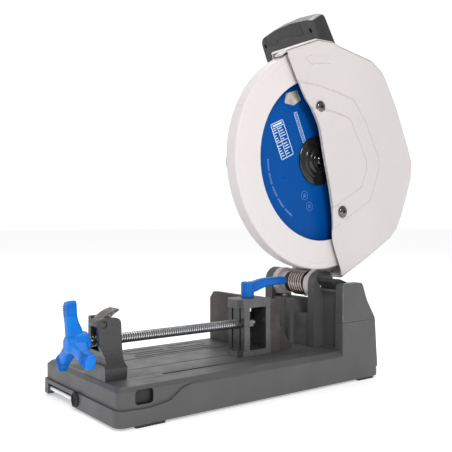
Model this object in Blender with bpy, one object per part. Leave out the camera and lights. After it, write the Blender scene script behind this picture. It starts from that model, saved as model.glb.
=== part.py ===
"""Metal-cutting chop saw: skirted base with a screw vise, and a sprung head that tilts down.

All lengths are metres. +X is the operator's right, +Y the rear and +Z up. Positions are counted from
the middle of the base (x), its front bottom edge (y) and the ground (z); every object then hangs from
one empty at FRAME_SHIFT, which puts the origin under the middle of the whole outline. The head is
modelled raised, as its spring holds it.
"""

import math

import bmesh
import bpy
from mathutils import Matrix, Vector

# ---- driving dimensions ---------------------------------------------------------------------------
FRAME_SHIFT = (0.0163, -0.3115, 0.0)
GAP = 0.0003  # between pieces that touch

BASE_WIDTH = 0.255
BASE_LENGTH = 0.532
BASE_BOTTOM = 0.004  # the feet hold the skirt this far off the ground
TABLE = 0.057
WALL = 0.011
RIM = 0.0085  # how far the table's edge stands in from the side
TOWER_LEFT, TOWER_RIGHT = 0.0565, 0.1268
TOWER_FRONT = 0.436
TOWER_SEAM, TOWER_TOP = 0.106, 0.1735
BLOCK_TOP = 0.163  # tower between the pivot lug and the outer column
CAP_LEFT = 0.1095  # the cap covers the outer column from here out
ROD = (0.0070, 0.0130)  # y, z of the rod across the front cut-out
ROD_RADIUS = 0.0042
ROD_BOSS = (-0.0035, 0.0175)  # x, z

PIVOT = (0.445, 0.168)  # y, z of the head's hinge
SHAFT_RADIUS = 0.0098
RING_RADIUS = 0.025
LUG_ROOM = 0.003  # the guard clears the pivot lug by this much all the way down
DEPTH_STOP = (-0.0200, 0.4330)  # x, y
LOCK_PIN = (0.4660, 0.1000)  # y, z
ARBOR = (0.417, 0.388)  # y, z of the blade's axis
MOTOR = (0.450, 0.402)  # y, z of the motor's axis
LOCK_BUTTON = (ARBOR[0] - 0.0167, ARBOR[1] - 0.0067)  # y, z of the spindle lock
ARM_TOP = 0.3450
GEARBOX_X = (0.0180, 0.0460, 0.0595)  # left face, split, right face
NOSE_RADIUS = 0.0378
BLADE_RADIUS = 0.1775
BLADE_X = (0.0784, 0.0810)
GUARD_OPENING = 0.140
LOWER_GUARD_RADIUS = 0.190
LOWER_GUARD_FROM, LOWER_GUARD_TO = 100.0, 285.0  # degrees round the arbor: 0 is the rear, 90 up
UPPER_GUARD_X = (0.0632, 0.1060)
SHELL = 0.003
GUARD_SCREWS = (("guard_screw_upper", (0.4010, 0.4777)), ("guard_screw_lower", (0.4560, 0.2985)))

SCREW = (0.041, 0.110)  # x, z of the vise screw
SCREW_RADIUS = 0.0078
RELEASE_PIN = (0.0105, 0.137)  # y, z of the quick-release lever's pin
JAW_X = (0.017, 0.062)
JAW_Y = (0.270, 0.3275)
JAW_TOP = 0.152
JAW_LEVER = (0.038, 0.296)  # x, y of the jaw lever's hub
FENCE_Y = 0.328
FENCE_BOLTS = (("fence_bolt_left", (-0.0620, 0.3690)), ("fence_bolt_right", (0.0080, 0.3690)))  # x, y

SPINDLE_MODULE, SPINDLE_TEETH, IDLER_PINION_TEETH = 0.0011, 42, 12
IDLER_MODULE, IDLER_TEETH, MOTOR_TEETH = 0.0008, 40, 11

HANDLE_BASE = (0.475, 0.600)  # y, z where the handle's own upright starts
HANDLE_TILT = math.radians(32)  # it leans towards the operator
HANDLE_HALF = 0.0165  # half of its thickness
HANDLE_BOTTOM = -0.0300
HANDLE_SCREWS = ((-0.0830, 0.0395), (0.0440, 0.0430))  # x and height in the handle's own frame
LOCK_OFF = (0.0325, 0.0440)
GLAND = (-0.0660, 0.5250)  # x, z of the cord's way out, at the rear of the pedestal

# colour, roughness, metallic
FINISHES = {
    "base_grey": ((0.075, 0.073, 0.074), 0.55, 0.0),
    "guard_paint": ((0.66, 0.63, 0.62), 0.45, 0.0),
    "black_plastic": ((0.025, 0.025, 0.027), 0.5, 0.0),
    "grip_grey": ((0.07, 0.07, 0.075), 0.6, 0.0),
    "bright_blue": ((0.02, 0.17, 0.66), 0.4, 0.0),
    "blade_blue": ((0.01, 0.10, 0.45), 0.35, 0.3),
    "zinc": ((0.62, 0.63, 0.65), 0.3, 1.0),
    "dark_steel": ((0.10, 0.10, 0.105), 0.35, 1.0),
    "cast_iron": ((0.10, 0.098, 0.095), 0.7, 0.4),
    "rubber": ((0.02, 0.02, 0.02), 0.85, 0.0),
    "copper": ((0.55, 0.25, 0.12), 0.4, 1.0),
}


# ---- building blocks ------------------------------------------------------------------------------
def place(axis, along, a, b):
    """A point from its distance along an axis and its two coordinates across it, in x, y, z order."""
    return {"X": (along, a, b), "Y": (a, along, b), "Z": (a, b, along)}[axis]


def solid(bm):
    """Turn a bmesh into a helper object whose faces point out."""
    bmesh.ops.recalc_face_normals(bm, faces=bm.faces)
    mesh = bpy.data.meshes.new("shape")
    bm.to_mesh(mesh)
    bm.free()
    obj = bpy.data.objects.new("shape", mesh)
    bpy.context.scene.collection.objects.link(obj)
    return obj


def loft(rings):
    """Closed solid through rings of points, each with the same number of points."""
    bm = bmesh.new()
    rows = [[bm.verts.new(p) for p in ring] for ring in rings]
    count = len(rows[0])
    for low, high in zip(rows, rows[1:]):
        for i in range(count):
            j = (i + 1) % count
            bm.faces.new((low[i], low[j], high[j], high[i]))
    bm.faces.new(rows[0][::-1])
    bm.faces.new(rows[-1])
    return solid(bm)


def prism(axis, outline, low, high):
    return loft([[place(axis, t, a, b) for a, b in outline] for t in (low, high)])


def box(x, y, z):
    return prism("Z", [(x[0], y[0]), (x[1], y[0]), (x[1], y[1]), (x[0], y[1])], *z)


def turned(axis, centre, profile, steps=32):
    """Revolve a closed profile of (along, radius) points; a radius of 0 lies on the axis."""
    bm = bmesh.new()
    rings = []
    for along, radius in profile:
        if radius == 0:
            rings.append([bm.verts.new(place(axis, along, *centre))] * steps)
            continue
        angles = [2 * math.pi * i / steps for i in range(steps)]
        spots = [(centre[0] + radius * math.cos(t), centre[1] + radius * math.sin(t)) for t in angles]
        rings.append([bm.verts.new(place(axis, along, a, b)) for a, b in spots])
    for ring, after in zip(rings, rings[1:] + rings[:1]):
        for i in range(steps):
            j = (i + 1) % steps
            corners = list(dict.fromkeys((ring[i], ring[j], after[j], after[i])))
            if len(corners) > 2:
                bm.faces.new(corners)
    return solid(bm)


def drum(axis, centre, radius, low, high, steps=32):
    return turned(axis, centre, [(low, 0), (high, 0), (high, radius), (low, radius)], steps)


def tube(axis, centre, inner, outer, low, high, steps=32):
    return turned(axis, centre, [(low, inner), (high, inner), (high, outer), (low, outer)], steps)


def arc(centre, radius, start, end, steps):
    """Points on a circle from one angle in degrees to another."""
    spots = [math.radians(start + (end - start) * i / steps) for i in range(steps + 1)]
    return [(centre[0] + radius * math.cos(t), centre[1] + radius * math.sin(t)) for t in spots]


def rounded(points, radius, steps=3):
    """The outline with each corner turned into an arc; radius is one number or one for each corner."""
    out = []
    for i, here in enumerate(points):
        r = radius[i] if isinstance(radius, (list, tuple)) else radius
        p = Vector(here)
        before, after = Vector(points[i - 1]) - p, Vector(points[(i + 1) % len(points)]) - p
        half = before.angle(after) / 2
        if r == 0 or abs(half - math.pi / 2) < 0.02:
            out.append(here)
            continue
        reach = min(r / math.tan(half), 0.49 * before.length, 0.49 * after.length)
        start, end = p + before.normalized() * reach, p + after.normalized() * reach
        for k in range(steps + 1):
            t = k / steps
            out.append(tuple((1 - t) ** 2 * start + 2 * t * (1 - t) * p + t**2 * end))
    return out


def plan(inset, corner=0.016):
    """The base's outline seen from above; its left corners are tighter than its right ones."""
    x, back = BASE_WIDTH / 2 - inset, BASE_LENGTH - inset
    tight = 0.6 * corner
    return rounded([(-x, inset), (x, inset), (x, back), (-x, back)], [tight, corner, corner, tight], 4)


def boolean(target, tool, operation):
    """Apply one Boolean to the target's mesh and drop the tool."""
    modifier = target.modifiers.new(operation, "BOOLEAN")
    modifier.operation, modifier.object, modifier.solver = operation, tool, "EXACT"
    bake(target)
    bpy.data.objects.remove(tool)
    return target


def join(target, *tools):
    for tool in tools:
        boolean(target, tool, "UNION")
    return target


def cut(target, *tools):
    for tool in tools:
        boolean(target, tool, "DIFFERENCE")
    return target


def bake(obj):
    """Replace the mesh by what the modifiers make of it."""
    graph = bpy.context.evaluated_depsgraph_get()
    mesh = bpy.data.meshes.new_from_object(obj.evaluated_get(graph))
    obj.modifiers.clear()
    obj.data = mesh


def soften(obj, width, segments=1, angle=35):
    """Bevel the edges sharper than the angle."""
    modifier = obj.modifiers.new("edges", "BEVEL")
    modifier.width, modifier.segments = width, segments
    modifier.limit_method, modifier.angle_limit = "ANGLE", math.radians(angle)
    modifier.use_clamp_overlap = True
    bake(obj)
    return obj


def triangulated(obj):
    """Split faces that aren't flat, so that a Boolean meets only flat ones."""
    bm = bmesh.new()
    bm.from_mesh(obj.data)
    bmesh.ops.triangulate(bm, faces=bm.faces)
    bm.to_mesh(obj.data)
    bm.free()
    return obj


def turn(obj, matrix):
    obj.data.transform(matrix)
    return obj


def material(name):
    if name in bpy.data.materials:
        return bpy.data.materials[name]
    made = bpy.data.materials.new(name)
    made.use_nodes = True
    shader = made.node_tree.nodes["Principled BSDF"]
    colour, roughness, metallic = FINISHES[name]
    shader.inputs["Base Color"].default_value = (*colour, 1)
    shader.inputs["Roughness"].default_value = roughness
    shader.inputs["Metallic"].default_value = metallic
    return made


def name_part(obj, name, finish, frame, origin=(0, 0, 0)):
    """Name a finished piece, give it its finish, and put its origin where it turns or slides."""
    obj.name = obj.data.name = name
    obj.data.transform(Matrix.Translation(-Vector(origin)))
    obj.location = origin
    obj.parent = frame
    obj.data.materials.clear()
    obj.data.materials.append(material(finish))
    obj.data.shade_smooth()
    obj.data.set_sharp_from_angle(angle=math.radians(32))
    return obj


def hexagon(centre, across):
    """Corners of a hexagon from its width across flats."""
    return arc(centre, across / math.sqrt(3), 30, 330, 5)


def gear_outline(centre, module, teeth, first):
    """Trapezoid teeth with room between them; first is the angle of the first tooth's middle."""
    pitch = 2 * math.pi / teeth
    middle = module * teeth / 2
    root, tip = middle - 1.15 * module, middle + 0.8 * module
    flanks = [(root, -0.29), (tip, -0.10), (tip, 0.10), (root, 0.29)]
    points = []
    for tooth in range(teeth):
        for radius, part in flanks:
            t = first + (tooth + part) * pitch
            points.append((centre[0] + radius * math.cos(t), centre[1] + radius * math.sin(t)))
    return points


def meshing_angle(direction, first, teeth, other_teeth):
    """First tooth angle of a gear that meshes with one whose first tooth stands at the angle first."""
    turned_part = (direction - first) * teeth / (2 * math.pi)
    return direction + math.pi - (2 * math.pi / other_teeth) * (0.5 - turned_part)


# ---- base -----------------------------------------------------------------------------------------
def lug_outline(front, back, bottom):
    """A pivot lug: a straight upright with a round head about the pivot."""
    y, z = PIVOT
    return [(back, bottom), (back, z)] + arc((y, z), y - front, 0, 180, 12) + [(front, bottom)]


def front_band():
    """What the stepped-in band round the front of the skirt leaves out of the full outline."""
    step = [(-0.02, 0.029), (0.040, 0.026), (0.072, 0.031), (0.090, 0.040), (0.105, 0.047),
            (0.125, 0.0505), (0.125, 0.08), (-0.02, 0.08)]
    band = prism("X", step, -0.2, 0.2)
    rings = [[(x, y, z) for x, y in plan(0.0035, 0.013)] for z in (0, 0.1)]
    return cut(band, loft(rings))


def base_casting(frame):
    levels = ((BASE_BOTTOM, 0.0), (0.049, 0.0008), (TABLE, RIM))
    base = loft([[(x, y, z) for x, y in plan(inset)] for z, inset in levels])
    cut(base, front_band())
    tower = rounded([(TOWER_FRONT, 0.02), (0.5275, 0.02), (0.5205, TOWER_SEAM), (0.4990, 0.141),
                     (0.4860, BLOCK_TOP), (TOWER_FRONT, BLOCK_TOP)], [0, 0, 0.003, 0.006, 0.004, 0.004], 2)
    join(base, prism("X", tower, TOWER_LEFT, TOWER_RIGHT))
    lug = lug_outline(PIVOT[0] - RING_RADIUS, 0.470, TABLE - 0.003)
    join(base, prism("X", lug, TOWER_LEFT, 0.0725))
    column = box((CAP_LEFT - GAP, 0.2), (0.40, 0.6), (TOWER_SEAM, 0.3))
    recess = box((0.0728, CAP_LEFT - 2 * GAP), (0.40, 0.4420), (0.0605, 0.158))
    cut(base, column, recess)
    inner = [(x, y) for x, y in plan(WALL, 0.010)]
    cut(base, prism("Z", inner, -0.01, TABLE - 0.005))
    cut(base, box((0.0785, 0.1035), (0.4475, 0.4850), (-0.01, BLOCK_TOP - 0.006)))
    cut(base, box((0.0785, 0.1035), (0.4840, 0.5120), (-0.01, 0.0960)))
    cut(base, drum("X", PIVOT, SHAFT_RADIUS + GAP, 0.04, 0.074, 24))
    slot = rounded([(0.0757, 0.100), (0.0837, 0.100), (0.0837, 0.388), (0.0757, 0.388)], 0.0039, 3)
    cut(base, prism("Z", slot, 0.02, 0.08))
    for x in (0.0265, -0.0385):
        cut(base, box((x, x + 0.003), (0.050, 0.400), (TABLE - 0.0014, 0.08)))
    cut(base, box((-0.108, -0.017), (-0.02, 0.02), (-0.02, 0.0215)))
    pocket = rounded([(0.029, 0.0315), (0.058, 0.0315), (0.058, 0.0525), (0.029, 0.0525)], 0.006)
    for side in (-1, 1):
        cut(base, prism("X", pocket, side * 0.1195, side * 0.14))
    cut(base, drum("Y", ROD_BOSS, 0.0110 + GAP, -0.01, 0.0075, 24))
    cut(base, drum("X", ROD, ROD_RADIUS + GAP, -0.1158, -0.0150, 16))
    return name_part(base, "base_casting", "base_grey", frame)


def tower_cap(frame):
    side = [(TOWER_FRONT, TOWER_SEAM + GAP), (0.5207, TOWER_SEAM + GAP), (0.5180, 0.1120),
            (0.499, 0.141), (0.486, TOWER_TOP), (TOWER_FRONT, TOWER_TOP)]
    cap = prism("X", rounded(side, [0, 0, 0.004, 0.006, 0.007, 0.006]), CAP_LEFT, TOWER_RIGHT)
    soften(cap, 0.0035, 2)
    return name_part(cap, "tower_cap", "base_grey", frame)


def front_rod(frame):
    rod = drum("X", ROD, ROD_RADIUS, -0.1155, -0.0155, 16)
    return name_part(rod, "front_rod", "zinc", frame)


def rod_boss(frame):
    boss = turned("Y", ROD_BOSS, [(0.0072, 0), (0.0072, 0.0110), (-0.0022, 0.0110), (-0.0030, 0.0102),
                                  (-0.0030, 0.0075), (-0.0012, 0.0068), (-0.0012, 0)], 24)
    return name_part(boss, "rod_boss", "rubber", frame)


def feet(frame):
    for side, x in (("left", -0.1215), ("right", 0.1215)):
        for end, low, high in (("front", 0.030, 0.078), ("rear", 0.478, 0.518)):
            outline = rounded([(x - 0.004, low), (x + 0.004, low), (x + 0.004, high), (x - 0.004, high)],
                              0.0035, 2)
            foot = prism("Z", outline, 0.0, BASE_BOTTOM - GAP)
            name_part(foot, f"foot_{end}_{side}", "rubber", frame)


def pivot_bracket(frame):
    left = (-0.0600, -0.0405)
    bottom = TABLE + GAP
    bracket = prism("X", lug_outline(PIVOT[0] - RING_RADIUS, 0.4700, bottom), *left)
    block = [(0.420, bottom), (0.486, bottom), (0.472, 0.118), (0.462, 0.139), (0.425, 0.139),
             (0.421, 0.133)]
    join(bracket, prism("X", block, -0.0500, 0.0165))
    join(bracket, box((0.010, 0.0560), (0.4235, 0.4400), (bottom, 0.114)))
    join(bracket, box((-0.0780, -0.0500), (0.4280, 0.4640), (bottom, 0.066)))
    for x in (-0.0120, 0.0095):
        join(bracket, prism("X", [(0.4145, bottom), (0.4225, bottom), (0.4225, 0.137), (0.4200, 0.137)],
                            x, x + 0.0065))
    cut(bracket, drum("X", PIVOT, SHAFT_RADIUS + GAP, -0.07, -0.03, 24))
    cut(bracket, drum("Z", DEPTH_STOP, 0.0030 + GAP, 0.110, 0.15, 16))
    cut(bracket, drum("X", LOCK_PIN, 0.0040 + GAP, 0.0, 0.03, 16))
    return name_part(bracket, "pivot_bracket", "base_grey", frame)


def pivot_shaft(frame):
    low, high, r = -0.0625, 0.0726, SHAFT_RADIUS
    shaft = turned("X", PIVOT, [(low, 0), (high, 0), (high, r), (low + 0.001, r), (low, r - 0.001)], 24)
    cut(shaft, prism("X", hexagon(PIVOT, 0.008), low - 0.01, low + 0.004))
    return name_part(shaft, "pivot_shaft", "zinc", frame, (0, *PIVOT))


def torsion_spring(frame):
    wire, coil, low, high, turns, sides = 0.00175, 0.0214, -0.0015, 0.0350, 7, 5
    y, z = PIVOT
    steps = turns * 13
    rings = []
    for i in range(steps + 1):
        t = 2 * math.pi * turns * i / steps - math.pi / 2
        out = Vector((0, math.cos(t), math.sin(t)))
        middle = Vector((low + (high - low) * i / steps, y, z)) + out * coil
        rings.append([tuple(middle + wire * (math.cos(a) * out + math.sin(a) * Vector((1, 0, 0))))
                      for a in (2 * math.pi * k / sides for k in range(sides))])
    return name_part(loft(rings), "torsion_spring", "zinc", frame, (0, y, z))


def spring_collar(frame):
    """The sleeve between the head arm's left ring and the coil."""
    sleeve = turned("X", PIVOT, [(-0.0137, SHAFT_RADIUS + GAP), (-0.0040, SHAFT_RADIUS + GAP),
                                 (-0.0040, 0.0165), (-0.0075, 0.0192), (-0.0137, 0.0192)], 24)
    return name_part(sleeve, "spring_collar", "black_plastic", frame, (0, *PIVOT))


def depth_stop_bolt(frame):
    bolt = drum("Z", DEPTH_STOP, 0.0030, 0.1120, 0.1448, 16)
    join(bolt, prism("Z", hexagon(DEPTH_STOP, 0.010), 0.1393, 0.1425))
    return name_part(bolt, "depth_stop_bolt", "zinc", frame)


def lock_pin(frame):
    y, z = LOCK_PIN
    pin = drum("X", (y, z), 0.0040, 0.0030, 0.0385, 16)
    knob = rounded([(y - 0.008, z - 0.006), (y + 0.006, z - 0.006), (y + 0.013, z + 0.033),
                    (y + 0.006, z + 0.036)], 0.004)
    join(pin, prism("X", knob, 0.0340, 0.0400))
    return name_part(pin, "lock_pin", "dark_steel", frame, (0.0340, y, z))


def chip_deflector(frame):
    side = [(TOWER_FRONT + 0.002, BLOCK_TOP + GAP), (0.4800, BLOCK_TOP + GAP), (0.4780, 0.1690),
            (0.4480, 0.1800), (0.4280, 0.1820), (0.4280, 0.1760)]
    plate = prism("X", side, 0.0730, CAP_LEFT - 0.0007)
    return name_part(plate, "chip_deflector", "black_plastic", frame)


# ---- fence and vise -------------------------------------------------------------------------------
def fence(frame):
    bottom = TABLE + GAP
    side = [(FENCE_Y, bottom), (0.3510, bottom), (0.3500, 0.122), (0.3450, 0.136), (0.3390, 0.148),
            (FENCE_Y, 0.148)]
    face = prism("X", side, -0.1150, 0.0600)
    corner = [(-0.13, 0.136), (-0.1150, 0.136), (-0.0950, 0.160), (-0.13, 0.160)]
    cut(face, prism("Y", corner, 0.30, 0.40))
    join(face, box((-0.1080, 0.0480), (0.3480, 0.3880), (bottom, 0.0670)))
    for x in (-0.0980, -0.0300, 0.0360):
        join(face, prism("X", [(0.3480, bottom), (0.3860, bottom), (0.3860, 0.068), (0.3480, 0.125)],
                         x, x + 0.008))
    for _, spot in FENCE_BOLTS:
        cut(face, drum("Z", spot, 0.0046, 0.04, 0.09, 16))
    return name_part(face, "fence", "cast_iron", frame)


def fence_bolts(frame):
    for name, centre in FENCE_BOLTS:
        bolt = drum("Z", centre, 0.0040, TABLE + GAP, 0.0690, 16)
        join(bolt, drum("Z", centre, 0.0095, 0.0673, 0.0688, 24))
        join(bolt, prism("Z", hexagon(centre, 0.013), 0.0685, 0.0745))
        name_part(bolt, name, "zinc", frame)


def nut_block(frame):
    """A foot with a curved front that rises to two cheeks, the right one further forward."""
    bottom = TABLE + GAP
    side = rounded([(0.0085, bottom), (0.0430, bottom), (0.0445, 0.078), (0.0400, 0.090),
                    (0.0385, 0.104), (0.0360, 0.1455), (0.0030, 0.1455), (0.0020, 0.1200),
                    (0.0040, 0.1050), (0.0110, 0.0900), (0.0120, 0.0800), (0.0085, 0.0790)],
                   [0, 0, 0.003, 0.006, 0.006, 0.007, 0.007, 0, 0.010, 0.006, 0.003, 0.001], 2)
    right = [(0.0755, bottom), (0.0755, 0.0790), (0.0722, 0.0845), (0.0700, 0.0925), (0.0688, 0.1020),
             (0.0685, 0.1120), (0.0685, 0.1455)]
    left = [(0.0234, 0.1455), (0.0230, 0.1120), (0.0215, 0.1020), (0.0190, 0.0925), (0.0150, 0.0845),
            (0.0091, 0.0790), (0.0091, bottom)]
    block = prism("X", side, -0.02, 0.10)
    boolean(block, prism("Y", right + left, -0.02, 0.08), "INTERSECT")
    cut(block, box((0.0316, 0.0620), (-0.02, 0.08), (0.0980, 0.2)))
    cut(block, box((0.0000, 0.0400), (-0.02, 0.0080), (0.0980, 0.2)))
    cut(block, drum("X", RELEASE_PIN, 0.0052, 0.0655, 0.09, 20))
    cut(block, drum("X", RELEASE_PIN, 0.0033, 0.0, 0.10, 16))
    return name_part(block, "nut_block", "base_grey", frame)


def release_pin(frame):
    pin = turned("X", RELEASE_PIN, [(0.0240, 0), (0.0676, 0), (0.0676, 0.0048), (0.0660, 0.0048),
                                    (0.0660, 0.0030), (0.0240, 0.0030)], 20)
    return name_part(pin, "release_pin", "dark_steel", frame, (0.0425, *RELEASE_PIN))


def release_lever(frame):
    """A roll on the pin with a thumb tongue that curves up and back."""
    y, z = RELEASE_PIN
    side = (arc((y, z), 0.0064, 90, 270, 10)
            + [(0.0165, 0.1322), (0.0205, 0.1400), (0.0265, 0.1462), (0.0330, 0.1508), (0.0395, 0.1545),
               (0.0385, 0.1568), (0.0340, 0.1560), (0.0240, 0.1525), (0.0165, 0.1475)])
    lever = prism("X", side, 0.0345, 0.0605)
    cut(lever, drum("X", RELEASE_PIN, 0.0033, 0.0, 0.10, 16))
    return name_part(lever, "release_lever", "dark_steel", frame, (0.0425, y, z))


def half_nut(frame):
    nut = box((0.0330, 0.0500), (0.0175, 0.0335), (0.1120, 0.1310))
    cut(nut, drum("Y", SCREW, SCREW_RADIUS + GAP, 0.0, 0.06, 32))
    cut(nut, box((0.03, 0.06), (0.0, 0.06), (0.10, 0.1150)))
    return name_part(nut, "half_nut", "zinc", frame, (0.0425, *RELEASE_PIN))


def vise_screw(frame):
    r = SCREW_RADIUS
    screw = turned("Y", SCREW, [(-0.0100, 0), (-0.0100, 0.0060), (0.0020, 0.0060), (0.0030, r),
                                (0.2800, r), (0.2810, 0.0058), (0.3060, 0.0058), (0.3070, 0.005),
                                (0.3070, 0)], 32)
    return name_part(screw, "vise_screw", "zinc", frame, (SCREW[0], 0, SCREW[1]))


def screw_end_nut(frame):
    nut = prism("Y", hexagon(SCREW, 0.019), 0.2870, 0.2990)
    cut(nut, drum("Y", SCREW, 0.0058 + GAP, 0.28, 0.31, 24))
    return name_part(nut, "screw_end_nut", "zinc", frame, (SCREW[0], 0, SCREW[1]))


def vise_handle(frame):
    """A hub with three arms that widen to flat finger pads."""
    x, z = SCREW
    hub = turned("Y", SCREW, [(-0.0350, 0), (-0.0350, 0.0110), (-0.0325, 0.0135), (-0.0100, 0.0165),
                              (-0.0035, 0.0165), (-0.0035, 0)], 24)
    for lean in (-12, 108, 228):
        sections = []
        for out, half, front, back in ((0.004, 0.0085, -0.0320, -0.0080),
                                       (0.018, 0.0078, -0.0325, -0.0100),
                                       (0.032, 0.0082, -0.0320, -0.0150),
                                       (0.044, 0.0100, -0.0315, -0.0165),
                                       (0.057, 0.0105, -0.0300, -0.0160),
                                       (0.0605, 0.0085, -0.0285, -0.0175)):
            corners = rounded([(-half, front), (half, front), (half, back), (-half, back)], 0.0035, 1)
            sections.append([(a, b, out) for a, b in corners])
        arm = turn(loft(sections), Matrix.Rotation(math.radians(lean), 4, "Y"))
        join(hub, turn(arm, Matrix.Translation((x, 0, z))))
    cut(hub, drum("Y", SCREW, 0.0063, -0.0110, 0.01, 24))
    return name_part(hub, "vise_handle", "bright_blue", frame, (x, 0, z))


def vise_jaw(frame):
    bottom = TABLE + GAP
    (left, right), (front, back) = JAW_X, JAW_Y
    inset = 0.0004
    jaw = box((left + inset, right - inset), (front + inset, back - inset), (bottom + 0.004, JAW_TOP - 0.004))
    brim = rounded([(left, back), (left, front), (left + 0.012, front - 0.009), (right - 0.010, front - 0.009),
                    (right, front), (right, back)], [0, 0.004, 0.004, 0.004, 0.004, 0])
    join(jaw, prism("Z", brim, JAW_TOP - 0.0140, JAW_TOP))
    join(jaw, prism("Z", brim, bottom, bottom + 0.0090))
    cut(jaw, box((left + 0.006, right + 0.01), (front + 0.0120, back - 0.0105), (0.0668, 0.1378)))
    for x in (left + 0.0125, right - 0.0120):
        cut(jaw, box((x - 0.002, x + 0.002), (front - 0.02, front + 0.0035), (0.0668, 0.1378)))
    cut(jaw, drum("Y", SCREW, SCREW_RADIUS + 0.0006, front - 0.01, front + 0.02, 32))
    cut(jaw, drum("Z", JAW_LEVER, 0.0043, 0.10, 0.17, 20))
    return name_part(jaw, "vise_jaw", "base_grey", frame, (SCREW[0], 0, SCREW[1]))


def jaw_lever(frame):
    x, y = JAW_LEVER
    hub = turned("Z", JAW_LEVER, [(JAW_TOP + GAP, 0), (0.1780, 0), (0.1795, 0.0095), (0.1770, 0.0112),
                                  (JAW_TOP + GAP, 0.0112)], 28)
    sections = []
    for out, half, low, high in ((0.000, 0.0085, 0.1600, 0.1790), (0.012, 0.0080, 0.1605, 0.1795),
                                 (0.028, 0.0072, 0.1655, 0.1830), (0.045, 0.0070, 0.1690, 0.1842),
                                 (0.070, 0.0072, 0.1705, 0.1845), (0.083, 0.0068, 0.1710, 0.1838),
                                 (0.0865, 0.0048, 0.1735, 0.1815)):
        corners = rounded([(x - half, low), (x + half, low), (x + half, high), (x - half, high)], 0.0045, 1)
        sections.append([(a, y + out, b) for a, b in corners])
    join(hub, loft(sections))
    cut(hub, drum("Z", JAW_LEVER, 0.0043, 0.14, 0.1700, 20))
    return name_part(hub, "jaw_lever", "bright_blue", frame, (x, y, JAW_TOP))


def jaw_lever_stud(frame):
    stud = drum("Z", JAW_LEVER, 0.0040, 0.1290, 0.1690, 16)
    join(stud, prism("Z", hexagon(JAW_LEVER, 0.012), 0.1285, 0.1372))
    return name_part(stud, "jaw_lever_stud", "zinc", frame, (*JAW_LEVER, JAW_TOP))


# ---- head: arm, gearbox, motor ----------------------------------------------------------------------
def head_arm(frame):
    y, z = PIVOT
    ring = arc(PIVOT, RING_RADIUS, 150, 360, 16)
    neck = [(0.4830, 0.195), (0.4900, 0.300), (0.4900, ARM_TOP), (0.4080, ARM_TOP), (0.4250, 0.285),
            (0.4470, 0.235), (0.4480, 0.198)]
    arm = prism("X", ring + neck, 0.0437, 0.0558)
    upright = [(0.4480, 0.198), (0.4700, 0.185), (0.4830, 0.195)] + neck[1:6]
    join(arm, prism("X", upright, -0.0140, 0.0500))
    web = [(0.4650, 0.1500), (0.4850, 0.1480), (0.4900, 0.2050), (0.4700, 0.2050), (0.4745, 0.1700)]
    join(arm, prism("X", web, -0.0395, 0.0500))
    left_ring = arc(PIVOT, RING_RADIUS, -45, 225, 20)
    join(arm, prism("X", left_ring + [(0.4300, 0.1445), (0.4600, 0.1445)], -0.0399, -0.0275))
    join(arm, box((-0.0399, -0.0275), (0.4580, 0.4800), (0.150, 0.190)))
    join(arm, drum("X", PIVOT, 0.0185, -0.0290, -0.0145, 24))
    finger = [(0.4450, 0.1600), (0.4450, 0.1750), (0.4210, 0.1720), (0.4200, 0.1660)]
    join(arm, prism("X", finger, -0.0260, -0.0140))
    cut(arm, drum("X", PIVOT, SHAFT_RADIUS + GAP, -0.10, 0.10, 24))
    return name_part(arm, "head_arm", "guard_paint", frame, (0, y, z))


def gearbox_outline(shrink=0.0):
    """Round the arbor and the motor's axis, with a straight foot on the arm."""
    front, rear = 0.0300 - shrink, 0.0420 - shrink
    foot = [(0.4080 + shrink, ARM_TOP + GAP + shrink), (0.4900 - shrink, ARM_TOP + GAP + shrink)]
    top = arc(MOTOR, rear, -10, 125, 10) + arc(ARBOR, front, 130, 200, 6)
    return foot + top


def gearbox_shells(frame):
    left, split, right = GEARBOX_X
    housing = prism("X", gearbox_outline(), left, split - GAP)
    cut(housing, prism("X", gearbox_outline(0.0035), left + 0.0050, split + 0.01))
    cut(housing, drum("X", ARBOR, 0.0080 + GAP, left + 0.0010, left + 0.02, 24))
    cut(housing, drum("X", MOTOR, 0.0080, left - 0.01, left + 0.02, 20))
    cut(housing, drum("X", LOCK_BUTTON, 0.0037, left - 0.01, left + 0.02, 16))
    name_part(housing, "gearbox_housing", "guard_paint", frame, (0, *PIVOT))

    cover = prism("X", gearbox_outline(), split, right)
    join(cover, drum("X", ARBOR, NOSE_RADIUS, split + 0.005, 0.0715, 32))
    cut(cover, drum("X", ARBOR, 0.0213, split + 0.0040, 0.0620, 32))
    cut(cover, drum("X", ARBOR, 0.0135, split - 0.01, 0.08, 28))
    name_part(cover, "gearbox_cover", "guard_paint", frame, (0, *PIVOT))


def idler_centre():
    """The idler sits above the line from arbor to motor, at both gears' centre distances."""
    a, m = Vector(ARBOR), Vector(MOTOR)
    far = SPINDLE_MODULE * (SPINDLE_TEETH + IDLER_PINION_TEETH) / 2
    near = IDLER_MODULE * (IDLER_TEETH + MOTOR_TEETH) / 2
    span = (m - a).length
    along = (far**2 - near**2 + span**2) / (2 * span)
    off = math.sqrt(far**2 - along**2)
    u = (m - a) / span
    return tuple(a + along * u + off * Vector((-u.y, u.x)))


IDLER = idler_centre()


def direction(start, end):
    return math.atan2(end[1] - start[1], end[0] - start[0])


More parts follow.
